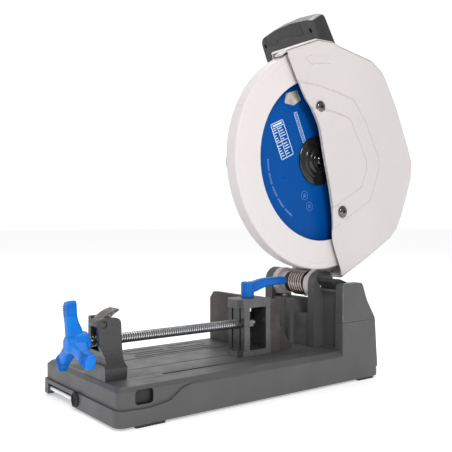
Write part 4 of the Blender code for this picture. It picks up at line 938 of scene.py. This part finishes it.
def motor():
    """The motor's plastic barrel with cooling ribs and vents, its blue end cap and brush caps."""
    profile = [(-0.121, 0.0505), (-0.013, 0.0505), (-0.006, 0.04), (0.012, 0.04), (0.012, 0.012),
               (0.0177, 0.012), (0.0177, 0.0445), (0.017, 0.0455), (0.001, 0.0455), (-0.001, 0.0462),
               (-0.0095, 0.055), (-0.012, 0.0565), (-0.016, 0.057), (-0.023, 0.057), (-0.0236, 0.0564),
               (-0.025, 0.0564), (-0.0256, 0.057), (-0.108, 0.057), (-0.1086, 0.0564), (-0.11, 0.0564),
               (-0.1106, 0.057), (-0.115, 0.057), (-0.1195, 0.0567), (-0.121, 0.056)]
    shell = turned("X", MOTOR, profile, 96)
    button = yz("spindle_lock_button")
    cut(shell, drum("X", button, 0.0075, -0.02, 0.03, 24))

    def around(shape, degrees):
        return moved(shape, spun("X", math.radians(degrees), (0, *MOTOR)))

    for k in range(-4, 5):
        for centre in (0, 180):
            slot = panel((-0.1, -0.062), (-0.0015, 0.0015), 0.0014, 3)
            cut(shell, around(prism("Z", slot, 0.045, 0.07), centre + 270 + 6.0 * k))
    for k in range(28):
        slot = panel((-0.01, 0.0), (-0.0016, 0.0016), 0.0015, 2)
        if k not in (2, 3):  # two fewer at the upper front
            cut(shell, around(prism("Z", slot, 0.047, 0.06), 360 / 28 * k))
    bevelled(shell, 0.0005, 2, angle=40)
    ribs = []
    for k in range(40):
        angle = 9.0 * k
        if 55 < (angle - 270) % 180 < 125:
            continue
        rib = box((-0.056, -0.03), (-0.0008, 0.0008), (0.056, 0.0574))
        ribs.append(painted(around(bevelled(rib, 0.0003, 1, wear_and_shading=0), angle + 90), 0))
    piece(merged(shell, *ribs), "motor_barrel", "head", [BLACK, BLACK_EDGE],
          ["motor_housing"])

    cap = turned("X", MOTOR, [(-0.1213, 0.0555), (-0.1213, 0.05), (-0.154, 0.048), (-0.154, 0.011),
                              (-0.148, 0.011), (-0.148, 0.007), (-0.159, 0.007), (-0.16, 0.008),
                              (-0.16, 0.015), (-0.159, 0.0158), (-0.159, 0.0172), (-0.16, 0.018),
                              (-0.16, 0.042), (-0.1596, 0.044), (-0.1585, 0.047), (-0.1562, 0.051),
                              (-0.153, 0.0544), (-0.1495, 0.0562), (-0.144, 0.0568), (-0.127, 0.057),
                              (-0.125, 0.057), (-0.1222, 0.0564)], 96)
    for k in range(18):
        slot = panel((-0.2, -0.142), (-0.0022, 0.0022), 0.002, 3)
        cut(cap, around(prism("Z", slot, 0.0225, 0.0415), 20.0 * k + 10))
    for t in (60, 240):
        cut(cap, around(drum("Z", (-0.136, 0), 0.0083, 0.03, 0.08, 32), t))
    bevelled(cap, 0.0006, 2, angle=40)
    piece(cap, "motor_cap", "head", [BLUE, BLUE_EDGE], ["motor_end_cap"])
    for side, t in (("front", 60), ("rear", 240)):
        plug = turned("Z", (-0.136, 0), [(0.046, 0), (0.046, 0.008), (0.0553, 0.008), (0.0562, 0.0074),
                                         (0.0565, 0.0064), (0.0565, 0)], 40)
        cut(plug, box((-0.143, -0.129), (-0.0009, 0.0009), (0.0547, 0.07)))
        piece(around(bevelled(plug, 0.0003, 2), t), f"brush_plug_{side}", "head",
              [BLACK, BLACK_EDGE], [f"brush_cap_{side}"])


def lock_button():
    centre = yz("spindle_lock_button")
    button = turned("X", centre, [(0.004, 0), (0.03, 0), (0.03, 0.003), (0.0296, 0.0034), (0.01, 0.0034),
                                  (0.01, 0.0044), (0.0052, 0.0044), (0.0043, 0.0038), (0.004, 0.0028)], 32)
    piece(button, "spindle_lock", "spindle_lock", BLACK, ["spindle_lock_button"])


# ---- blade and guards -------------------------------------------------------------------------------
TEETH = 66
PRINT_TURN = math.radians(24)
PRINT_X = (BLADE_X[1] - 0.0002, BLADE_X[1] + 0.00008)


def tooth_angle(k):
    return 2 * math.pi * k / TEETH


def blade_spot(radius, angle):
    return ARBOR[0] + radius * math.cos(angle), ARBOR[1] + radius * math.sin(angle)


def print_box(centre, along, across, half_long, half_wide, turn=PRINT_TURN):
    """A thin printed bar on the blade; along and across are its middle in the print's own turned frame."""
    y = centre[0] + across * math.cos(turn) + along * math.sin(turn)
    z = centre[1] + across * math.sin(turn) - along * math.cos(turn)
    bar = box(PRINT_X, (-half_wide, half_wide), (-half_long, half_long))
    return moved(bar, spun("X", turn, (0, y, z)))


def print_frame(centre, half_long, half_wide, line):
    sides = [print_box(centre, s * (half_long - line / 2), 0, line / 2, half_wide) for s in (-1, 1)]
    return sides + [print_box(centre, 0, s * (half_wide - line / 2), half_long, line / 2) for s in (-1, 1)]


def blade_print():
    """Generic print: a ruled table, a scale, a panel, two rings and a line of dashes; no lettering."""
    table, scale = (0.3362, 0.4196), (0.377, 0.4433)
    white = print_frame(table, 0.0315, 0.015, 0.0013)
    white.append(print_box(table, 0.004, -0.002, 0.027, 0.0006))
    white += [print_box(table, along, 0, 0.0006, 0.015) for along in (-0.023, 0.002)]
    for k in range(11):
        for column, widest in ((-0.0085, 0.0048), (0.0062, 0.0066)):
            share = (0.9, 0.6, 0.8, 0.45, 0.7)[(3 * k + int(widest * 10000)) % 5]
            along = -0.0195 + 0.0045 * k
            if abs(along - 0.002) > 0.0015:
                white.append(print_box(table, along, column - widest * (1 - share), 0.0007, widest * share))
    white.append(print_box(table, -0.027, 0.0, 0.0014, 0.011))
    white += print_frame(scale, 0.0275, 0.0038, 0.0008)
    white += [print_box(scale, -0.025 + 0.0031 * k, 0, 0.0004, 0.0022) for k in range(17)]
    patch = rounded([(0.3447, 0.4981), (0.3701, 0.5069), (0.3795, 0.4908), (0.362, 0.4796),
                     (0.3414, 0.4817)], 0.001, 2)
    patch = prism("X", patch, *PRINT_X)
    faint = []
    for spot in ((0.3882, 0.3266), (0.4, 0.3079)):
        faint.append(tube("X", spot, 0.0072, 0.0079, *PRINT_X, 40))
        faint.append(print_box(spot, 0.0016, 0, 0.0007, 0.004))
        faint.append(print_box(spot, -0.0016, 0, 0.0007, 0.003))
    for k in range(34):
        if k % 7 != 6:
            angle = math.radians(182 + 1.7 * k)
            spot = blade_spot(0.1125, angle)
            faint.append(print_box(spot, 0, 0, 0.0012, 0.0017, turn=angle))
    groups = (white, 1), ([patch], 2), (faint, 3)
    return [painted(shape, index) for shapes, index in groups for shape in shapes]


def blade():
    outline = []
    for k in range(TEETH):
        start, step = tooth_angle(k), 2 * math.pi / TEETH
        for share, radius in ((0.0, 0.1766), (0.06, 0.1716), (0.16, 0.1683), (0.3, 0.1676), (0.44, 0.1692),
                              (0.58, 0.1722), (0.8, 0.175), (0.97, 0.1768)):
            outline.append(blade_spot(radius, start + share * step))
    disc = prism("X", outline, *BLADE_X)
    cut(disc, drum("X", ARBOR, 0.0127, 0.07, 0.09, 64))
    for k in range(6):
        angle = tooth_angle(11 * k) - 0.25 * tooth_angle(1)
        spin = spun("X", angle, (0, *ARBOR))
        cut(disc, moved(box((0.07, 0.09), (0.15, 0.19), (-0.0004, 0.0004)), spin))
        cut(disc, drum("X", blade_spot(0.15, angle), 0.0018, 0.07, 0.09, 20))
    bevelled(disc, 0.00015, 1, wear_and_shading=0)
    tips = []
    for k in range(TEETH):
        spin = spun("X", tooth_angle(k), (0, *ARBOR))
        corners = [(0.1724, -0.001), (0.17745, -0.0006), (0.1774, 0.0004), (0.1726, 0.0004)]
        tips.append(painted(moved(prism("X", corners, *BLADE_X), spin), 4))
    piece(merged(painted(disc, 0), *tips, *blade_print()), "toothed_blade", "blade_assembly",
          [BLADE, PRINT, PATCH_PRINT, FAINT_PRINT, STEEL], ["saw_blade"])


def blade_mounting():
    start = BLADE_X[1] + GAP
    outer = turned("X", ARBOR, [(start, 0.0056), (0.089, 0.0056), (0.089, 0.0125), (0.0886, 0.013),
                                (0.0886, 0.0165), (0.089, 0.017), (0.089, 0.0193), (0.0884, 0.0204),
                                (0.087, 0.0215), (0.0862, 0.0222), (0.0862, 0.0252), (0.0867, 0.0258),
                                (0.0867, 0.0292), (0.086, 0.03), (0.0856, 0.0304), (0.0856, 0.035),
                                (0.0852, 0.0356), (0.085, 0.04), (0.0845, 0.0416), (0.0835, 0.0425),
                                (start, 0.0425)], 96)
    piece(outer, "blade_clamp", "blade_assembly", FLANGE, ["outer_flange"])
    inner = turned("X", ARBOR, [(0.072, 0.0127), (0.0781, 0.0127), (0.0781, 0.0325), (0.0776, 0.033),
                                (0.0755, 0.033), (0.075, 0.0326), (0.072, 0.0264)], 72)
    piece(inner, "blade_seat", "blade_assembly", OXIDE, ["inner_flange"])
    bolt = merged(drum("X", ARBOR, 0.005, 0.061, 0.09, 32, 0.0005),
                  bevelled(tube("X", ARBOR, 0.004, 0.012, 0.0893, 0.0912, 56), 0.0004, 2, wear_and_shading=0))
    head = prism("X", hexagon(ARBOR, 0.016), 0.0905, 0.0945)
    cone = turned("X", ARBOR, [(0.09, 0), (0.09, 0.012), (0.0934, 0.009), (0.0945, 0.0078), (0.0945, 0)], 56)
    boolean(head, cone, "INTERSECT")
    cut(head, drum("X", ARBOR, 0.005, 0.0939, 0.1, 40))
    piece(merged(bolt, bevelled(head, 0.0003, 2, wear_and_shading=0)), "blade_bolt", "blade_assembly",
          CHROME, ["arbor_bolt"])


SCREW_SPOTS = yz("guard_screw_upper"), yz("guard_screw_lower")
# The upper guard's outline as y, z: its lip at the top, the corners of its outer edge, and its curved
# front edge
GUARD_LIP = [(0.3165, 0.557), (0.329, 0.5658), (0.343, 0.5731), (0.36, 0.579)]
GUARD_RIM = [(0.33, 0.569), (0.399, 0.596), (0.436, 0.597), (0.461, 0.591), (0.541, 0.578), (0.569, 0.561),
             (0.581, 0.546), (0.613, 0.494), (0.644, 0.429), (0.658, 0.395), (0.655, 0.362), (0.629, 0.295),
             (0.614, 0.268), (0.594, 0.249), (0.529, 0.214), (0.463, 0.1815)]
GUARD_FRONT = [(0.456, 0.195), (0.4511, 0.2069), (0.4407, 0.231), (0.4338, 0.2527), (0.4335, 0.2784),
               (0.4309, 0.3073), (0.4219, 0.3505), (0.4108, 0.3932), (0.4005, 0.4383), (0.3945, 0.4523),
               (0.3797, 0.476), (0.3678, 0.4889), (0.3516, 0.5148), (0.33, 0.554)]
# The raised fields on its face: corners of the outer and the inner one, from top to bottom
OUTER_FIELD = [(0.4, 0.514), (0.4496, 0.5069), (0.487, 0.4985), (0.5189, 0.4608), (0.5539, 0.3986),
               (0.556, 0.3802), (0.532, 0.3205), (0.4343, 0.2677)]
INNER_FIELD = [(0.4, 0.474), (0.4366, 0.4724), (0.4754, 0.4637), (0.5192, 0.3904), (0.5192, 0.3767),
               (0.504, 0.342), (0.4371, 0.3079)]


def pulled_in(points, distance):
    """The guard's edge moved towards the blade's axis by a distance."""
    out = []
    for i, p in enumerate(points):
        before, after = Vector(points[max(i - 1, 0)]), Vector(points[min(i + 1, len(points) - 1)])
        along = (after - before).normalized()
        out.append(tuple(Vector(p) + distance * Vector((along.y, -along.x))))
    return out


def smooth_line(points):
    """A curve through the points, with two more between each pair."""
    out = []
    for i in range(len(points) - 1):
        p0, p1 = Vector(points[max(i - 1, 0)]), Vector(points[i])
        p2, p3 = Vector(points[i + 1]), Vector(points[min(i + 2, len(points) - 1)])
        for t in (0, 1 / 3, 2 / 3):
            out.append(tuple(0.5 * (2 * p1 + (p2 - p0) * t + (2 * p0 - 5 * p1 + 4 * p2 - p3) * t**2
                                    + (3 * p1 - p0 - 3 * p2 + p3) * t**3)))
    return out + [points[-1]]


def raised_field(corners, low, high):
    """A field on the guard's face with a soft step round it, run out past the guard's front edge."""
    slope = 0.006
    line = rounded(corners, 0.012, 6, closed=False)
    line = [(0.3, line[0][1] + 0.004)] + line + [(0.36, line[-1][1] - 0.04)]
    rings = []
    for k in range(7):
        t = k / 6
        inset = slope * (t - 0.5)
        rise = t * t * (3 - 2 * t)
        rings.append([(low + (high - low) * rise, y, z) for y, z in pulled_in(line, inset)])
    rings.insert(0, [(low - 0.0008, *spot[1:]) for spot in rings[0]])
    return loft(rings)


def upper_guard():
    left, right, shell = 0.0632, GUARD_FACE, 0.003
    face = right - 0.0022
    rim = rounded(GUARD_RIM, 0.012, 4, closed=False)
    ahead = [(y - 0.012, z) for y, z in GUARD_FRONT]
    levels = [(left, 0.0), (right - 0.01, 0.0)]
    levels += [(face - 0.0084 * (1 - math.sin(t)), 0.0088 * (1 - math.cos(t)))
               for t in (math.radians(a) for a in range(10, 91, 16))]
    guard = loft([[(x, y, z) for y, z in pulled_in(rim, inset) + ahead] for x, inset in levels])
    bm = bmesh.new()
    bm.from_mesh(guard.data)
    bmesh.ops.triangulate(bm, faces=[f for f in bm.faces if len(f.verts) > 4])
    bm.to_mesh(guard.data)
    bm.free()
    step = 0.0021
    join(guard, raised_field(OUTER_FIELD, face, face + step))
    join(guard, raised_field(INNER_FIELD, face + step, face + 2 * step))
    arrow = [(0.3671, 0.556), (0.385, 0.5478), (0.385, 0.5506), (0.4282, 0.556), (0.4282, 0.5672),
             (0.385, 0.5622), (0.385, 0.5652)]
    join(guard, prism("X", rounded(arrow, 0.0006, 2), face - 0.001, face + 0.001))
    front = smooth_line(GUARD_FRONT)
    grown = pulled_in(GUARD_RIM, -0.004)
    trim = prism("X", [(0.325, 0.573)] + grown[1:-1] + [(0.464, 0.176), (0.457, 0.18)] + front, 0.05, 0.12)
    boolean(guard, trim, "INTERSECT")
    for spot in SCREW_SPOTS:
        cut(guard, drum("X", spot, 0.0032, 0.09, 0.12, 24))
    inside = pulled_in(GUARD_RIM, shell)
    inside.append((inside[-1][0] - 0.03, inside[-1][1] - 0.03))
    inside += [(0.2, 0.22), (0.2, 0.5)]
    cut(guard, prism("X", inside, left - 0.01, right - shell - 0.0005))
    cut(guard, drum("X", PIVOT, 0.028, left - 0.01, 0.076, 64))
    lip = GUARD_LIP + pulled_in(GUARD_LIP, shell)[::-1]
    join(guard, prism("X", lip, left + 0.0205, right - 0.0065))
    bevelled(guard, 0.0005, 2, angle=34)
    # Painted shade: the steeper faces of the steps round the raised fields take the darker guard edge paint
    for polygon in guard.data.polygons:
        x, y, z = polygon.center
        if face + 0.0002 < x < face + 2 * step - 0.0001 and polygon.normal.x < STEP_NORMAL:
            polygon.material_index = 1
    # Painted shade: the upper guard takes the darker copy of the guard paint
    piece(guard, "blade_housing", "head", [GUARD_PAINT_IN_SHADE, GUARD_EDGE_SHADE], ["upper_guard"], 32)


def guard_screws():
    for name, spot in zip(("upper", "lower"), SCREW_SPOTS):
        face = GUARD_FACE + GAP
        profile = [(0.097, 0), (0.097, 0.0029), (face, 0.0029), (face, 0.01), (face + 0.0006, 0.0105),
                   (face + 0.0013, 0.0105), (face + 0.0014, 0.0089)]
        profile += [(face + 0.0014 + 0.003 * math.sin(t), 0.0087 * math.cos(t) + 0.0001)
                    for t in (math.radians(a) for a in range(10, 71, 10))]
        profile += [(face + 0.0044, 0)]
        screw = turned("X", spot, profile, 48)
        cut(screw, prism("X", hexagon(spot, 0.005), face + 0.0018, 0.13))
        bevelled(screw, 0.0002, 2, angle=50, wear_and_shading=0)
        piece(screw, f"button_screw_{name}", "head", CHROME, [f"guard_screw_{name}"])


def back_plate():
    """The plate behind the blade, with pressed stiffening ribs on its outer side."""
    front = [(0.44, 0.24), (0.4, 0.32)] + arc(ARBOR, 0.062, 235, 135, 24) + [(0.345, 0.5)]
    rim = rounded(GUARD_RIM, 0.01, 4, closed=False)
    plate = prism("X", rim + front, 0.0612, 0.0629)
    outer = rounded(GUARD_RIM[1:-1], 0.01, 4, closed=False)
    inner = rounded(pulled_in(GUARD_RIM, 0.0075)[1:-1], 0.01, 4, closed=False)
    join(plate, prism("X", outer + inner[::-1], 0.06, 0.062))
    for start, end in (((0.53, 0.43), (0.628, 0.43)), ((0.52, 0.35), (0.634, 0.345)),
                       ((0.505, 0.48), (0.58, 0.535)), ((0.51, 0.31), (0.59, 0.262))):
        a, b = Vector(start), Vector(end)
        side = (b - a).normalized().orthogonal() * 0.0035
        rib = rounded([tuple(a + side), tuple(b + side), tuple(b - side), tuple(a - side)], 0.0034, 5)
        join(plate, prism("X", rib, 0.06, 0.062))
    cut(plate, drum("X", ARBOR, 0.0381, 0.05, 0.07, 72))
    cut(plate, drum("X", PIVOT, 0.028, 0.05, 0.07, 64))
    bevelled(plate, 0.0005, 2)
    piece(plate, "rear_plate", "head", [GUARD, GUARD_EDGE_SHADE], ["guard_back_plate"])


def lower_guard():
    r, left, right = 0.19, 0.068, 0.095
    wall = 0.003
    edge = [(right - 0.0044 + 0.0036 * math.sin(t), r - 0.004 + 0.004 * math.cos(t))
            for t in (math.radians(a) for a in range(0, 91, 15))]
    edge += [(right - 0.0008, r - 0.0105), (right - 0.0005, r - 0.0112), (right, r - 0.0118)]
    profile = [(left, 0.048), (left, r - 0.0022), (left + 0.0006, r - 0.0008), (left + 0.0022, r)]
    profile += edge + [(right, 0.1408), (right - 0.0006, 0.14), (right - wall, 0.14), (right - wall, 0.1775),
                       (right - wall - 0.004, 0.1845), (right - wall - 0.0075, r - wall),
                       (left + wall, r - wall), (left + wall, 0.048)]
    rings = []
    steps = 124
    for i in range(steps + 1):
        t = math.radians(100 + 185 * i / steps)
        rings.append([(x, ARBOR[0] + d * math.cos(t), ARBOR[1] + d * math.sin(t)) for x, d in profile])
    guard = loft(rings)
    join(guard, drum("X", (ARBOR[0] - 0.1697, ARBOR[1] + 0.0821), 0.0032, 0.076, 0.087, 24, 0.0005))
    join(guard, tube("X", ARBOR, 0.0385, 0.056, 0.0638, 0.0704, 96))
    for k in range(3):
        t = math.radians(135 + 55 * k)
        spot = (ARBOR[0] + 0.095 * math.cos(t), ARBOR[1] + 0.095 * math.sin(t))
        cut(guard, drum("X", spot, 0.014, 0.06, 0.0725, 48))
    bevelled(guard, 0.0005, 2, angle=50)
    piece(guard, "swinging_guard", "swing_guard", [GUARD, GUARD_EDGE_SHADE], ["lower_guard"], 40)


# ---- handle -----------------------------------------------------------------------------------------
def on_handle(obj):
    """From the handle's own frame (x, across, up) to where it stands on the head."""
    return moved(obj, spun("X", HANDLE_TILT, (0, *HANDLE_BASE)))


def groove(line, width, low, high):
    """A thin strip along a line of x, z points, between two depths across the handle."""
    left, right = [], []
    for i, p in enumerate(line):
        before, after = Vector(line[max(i - 1, 0)]), Vector(line[min(i + 1, len(line) - 1)])
        side = (after - before).normalized().orthogonal() * width / 2
        left.append(tuple(Vector(p) + side))
        right.append(tuple(Vector(p) - side))
    return prism("Y", left + right[::-1], low, high)


def handle():
    half, wall, bottom = 0.0165, 0.0035, -0.03
    outer = rounded([(-0.076, bottom), (0.054, bottom), (0.0585, 0.0), (0.0585, 0.058), (0.045, 0.063),
                     (0.0, 0.066), (-0.045, 0.0635), (-0.09, 0.0545), (-0.098, 0.01),
                     (-0.094, -0.015)], [0, 0, 0.02, 0.014, 0.03, 0.06, 0.06, 0.02, 0.04, 0.014], 6)
    hole = rounded([(-0.066, -0.012), (0.038, -0.012), (0.042, 0.025), (-0.078, 0.025)], 0.009, 6)
    lock = (0.0325, 0.044)
    seam = rounded([(-0.0765, 0.07), (-0.0765, 0.041), (-0.051, 0.036), (-0.045, 0.0445),
                    (-0.014, 0.046), (0.024, 0.038), (0.024, 0.072)],
                   [0, 0.003, 0.004, 0.006, 0.02, 0.003, 0], 5, closed=False)
    whole = cut(prism("Y", outer, -half, half), prism("Y", hole, -0.05, 0.05))
    painted(painted(whole, 3), 0)  # makes room for four materials before the cuts bring theirs
    bevelled(whole, 0.009, 8, angle=60, wear_and_shading=0)
    for side, low, high, sign in (("front", -0.1, -GAP / 2, -1), ("rear", GAP / 2, 0.1, 1)):
        shell = linked("shell", whole.data.copy())
        face = sign * half
        depths = sorted((face * 1.2, face - sign * 0.0007))
        cut(shell, painted(groove(seam, 0.0013, *depths), 2))
        # Painted shade: the slots' walls take the black plastic
        for x, z in ((-0.083, 0.0395), (0.044, 0.043)):
            slot = panel((x - 0.0027, x + 0.0027), (z - 0.0044, z + 0.0044), 0.0026)
            cut(shell, painted(prism("Y", slot, *sorted((face * 1.3, face - sign * 0.0036))), 2))
        if sign > 0:
            cut(shell, drum("Y", lock, 0.0052, 0.0, 0.03, 32))
        cut(shell, box((-0.074, 0.053), (-half + wall, half - wall), (0.029, 0.056)))
        cut(shell, box((-0.052, 0.022), (-0.009, 0.009), (0.015, 0.031)))
        boolean(shell, box((-0.2, 0.2), (low, high), (-0.1, 0.1)), "INTERSECT")
        bevelled(shell, 0.0005, 2, angle=50)
        for polygon in shell.data.polygons:
            x, z = polygon.center.x, polygon.center.z
            outside = abs(polygon.center.y) > half - 0.0075
            if outside and polygon.material_index == 0 and -0.0765 < x < 0.024 and z > soft_edge(x):
                polygon.material_index = 3
        on_handle(shell)
        piece(shell, f"grip_half_{side}", "head", [GRIP, GRIP_EDGE, BLACK, SOFT_GRIP],
              [f"handle_{side}_shell"], 30)
    bpy.data.objects.remove(whole)

    paddle = rounded([(-0.051, 0.036), (-0.051, 0.0215), (-0.044, 0.0188), (-0.015, 0.018),
                      (0.014, 0.019), (0.021, 0.023), (0.021, 0.036)],
                     [0, 0.004, 0.01, 0.05, 0.01, 0.005, 0], 6)
    trigger = bevelled(prism("Y", paddle, -0.008, 0.008), 0.0022, 4, angle=50, wear_and_shading=0)
    join(trigger, box((-0.054, 0.024), (-0.008, 0.008), (0.0302, 0.036)))
    piece(on_handle(trigger), "trigger_paddle", "switch_trigger", [BLUE, BLUE_EDGE],
          ["trigger"])
    button = turned("Y", lock, [(0.0195, 0), (0.0195, 0.0034), (0.0192, 0.0041), (0.0185, 0.0047),
                                (0.0176, 0.0049), (0.012, 0.0049), (0.012, 0.007), (0.006, 0.007),
                                (0.006, 0)], 40)
    piece(on_handle(button), "lock_off_cap", "lock_off", BLUE, ["lock_off_button"])


def soft_edge(x):
    """Height of the soft insert's lower edge in the handle's frame."""
    return 0.0395 if x < -0.048 else 0.0458 - max(0.0, x + 0.014) * 0.2


def handle_bracket():
    """The pedestal that carries the handle on the motor, and the cord's ribbed rubber gland."""
    bracket = bevelled(copied("handle_bracket"), 0.0007, 2)
    piece(bracket, "handle_pedestal", "head", [BLACK, BLACK_EDGE], ["handle_bracket"])
    centre = tuple(middle("cord_gland").xz)
    profile = [(0.506, 0.0035), (0.54, 0.0035), (0.54, 0.0052)]
    y = 0.539
    while y > 0.525:
        r = 0.0057 + (0.539 - y) * 0.16
        profile += [(y, r), (y - 0.0016, r + 0.0003), (y - 0.0018, r - 0.001), (y - 0.0026, r - 0.001)]
        y -= 0.0028
    profile += [(0.5235, 0.0085), (0.5205, 0.0085), (0.5205, 0.006), (0.506, 0.006)]
    piece(turned("Y", centre, profile, 40), "cord_sleeve", "head", RUBBER, ["cord_gland"])


# ---- finish of the solids that stay -----------------------------------------------------------------
KEPT = {"spindle": STEEL, "spindle_bearing": STEEL, "spindle_gear": STEEL, "motor_pinion": STEEL,
        "idler_gear": STEEL, "stator": LAMINATION, "armature": COPPER, "cooling_fan": BLACK,
        "switch_module": BLACK}


def dress_kept_nodes():
    for name, look in KEPT.items():
        mesh = NODES[name].data
        mesh.materials.clear()
        mesh.materials.append(look)


# ---- floor, light and camera ------------------------------------------------------------------------
FLOOR_REACH = 14.0
FLOOR_GLOW = 0.42
FLOOR = material("pale_floor", (0.88, 0.88, 0.88), 0.6, grain=(40, 0.0001), blotch=(1.5, 0.01),
                 uneven=(3, 0.02), specular=0.0)
floor_shader = FLOOR.node_tree.nodes["Principled BSDF"].inputs
floor_shader["Emission Color"].default_value = (1, 1, 1, 1)
floor_shader["Emission Strength"].default_value = FLOOR_GLOW
SURROUND = 1.06
# How the surround darkens: the axis, the direction's component along it where that starts and where it
# ends, and the level there
SHADES = (("X", -0.5, 0.15, 0.46), ("Z", 0.3, 1.0, 0.75))
# Name, place, aim, size and power
LIGHTS = (("overhead_left", (-0.6, 0.3, 2.0), (0, 0, 0.2), 0.9, 12),
          ("key_right", (2.2, -1.0, 1.8), (0, 0, 0.3), 0.7, 41))
# The camera that fits the photo: its place in the base's coordinates, its turn to the left, its tilt down,
# and its sensor and lens in mm
EYE = Vector((0.929, -0.427, 0.2889))
YAW, PITCH = math.radians(52.77), math.radians(0.742)
SENSOR, LENS = 36.0, 53.68


def floor():
    mesh = bpy.data.meshes.new("floor")
    far = FLOOR_REACH
    mesh.from_pydata([(-far, -far, 0), (far, -far, 0), (far, far, 0), (-far, far, 0)], [], [(0, 1, 2, 3)])
    mesh.materials.append(FLOOR)
    linked("floor", mesh)


def area_light(name, spot, target, size, power):
    data = bpy.data.lights.new(name, "AREA")
    data.shape, data.size, data.size_y = "RECTANGLE", size, size
    data.energy = power
    lamp = linked(name, data)
    lamp.location = spot
    lamp.rotation_euler = (Vector(target) - Vector(spot)).to_track_quat("-Z", "Y").to_euler()


def studio():
    """A surround that is brightest where the camera looks, a light overhead and one at the camera's right."""
    world = bpy.data.worlds.new("surround")
    bpy.context.scene.world = world
    world.use_nodes = True
    tree = world.node_tree
    tree.nodes["Background"].inputs["Color"].default_value = (1, 1, 1, 1)
    toward = tree.nodes.new("ShaderNodeSeparateXYZ")
    tree.links.new(tree.nodes.new("ShaderNodeTexCoord").outputs["Generated"], toward.inputs[0])
    total = None
    for axis, start, end, level in SHADES:
        shade = tree.nodes.new("ShaderNodeMapRange")
        shade.interpolation_type = "SMOOTHSTEP"
        tree.links.new(toward.outputs[axis], shade.inputs["Value"])
        for key, value in (("From Min", start), ("From Max", end), ("To Min", 1.0), ("To Max", level)):
            shade.inputs[key].default_value = value
        out = shade.outputs["Result"]
        if total:
            product = tree.nodes.new("ShaderNodeMath")
            product.operation = "MULTIPLY"
            tree.links.new(total, product.inputs[0])
            tree.links.new(out, product.inputs[1])
            out = product.outputs[0]
        total = out
    strength = tree.nodes.new("ShaderNodeMath")
    strength.operation = "MULTIPLY"
    tree.links.new(total, strength.inputs[0])
    strength.inputs[1].default_value = SURROUND
    tree.links.new(strength.outputs[0], tree.nodes["Background"].inputs["Strength"])
    for light in LIGHTS:
        area_light(*light)
    bpy.context.scene.view_settings.view_transform = "Standard"


def camera():
    forward = Vector((-math.sin(YAW) * math.cos(PITCH), math.cos(YAW) * math.cos(PITCH), -math.sin(PITCH)))
    right = Vector((math.cos(YAW), math.sin(YAW), 0))
    data = bpy.data.cameras.new("camera")
    data.sensor_width, data.lens = SENSOR, LENS
    data.clip_end = 100.0
    eye = linked("camera", data)
    facing = Matrix((right, right.cross(forward), -forward)).transposed().to_4x4()
    eye.matrix_world = Matrix.Translation(EYE + SHIFT) @ facing
    bpy.context.scene.camera = eye


for make in (base_casting, tower_cap, front_rod, feet, pivot_bracket, hinge_spring, stop_bolt, lock_pin,
             deflector, fence, nut_block, release_lever, vise_screw, vise_handle, vise_jaw, jaw_lever,
             head_arm, gearbox, motor, lock_button, blade, blade_mounting, upper_guard, guard_screws,
             back_plate, lower_guard, handle, handle_bracket, dress_kept_nodes, floor, studio, camera):
    make()
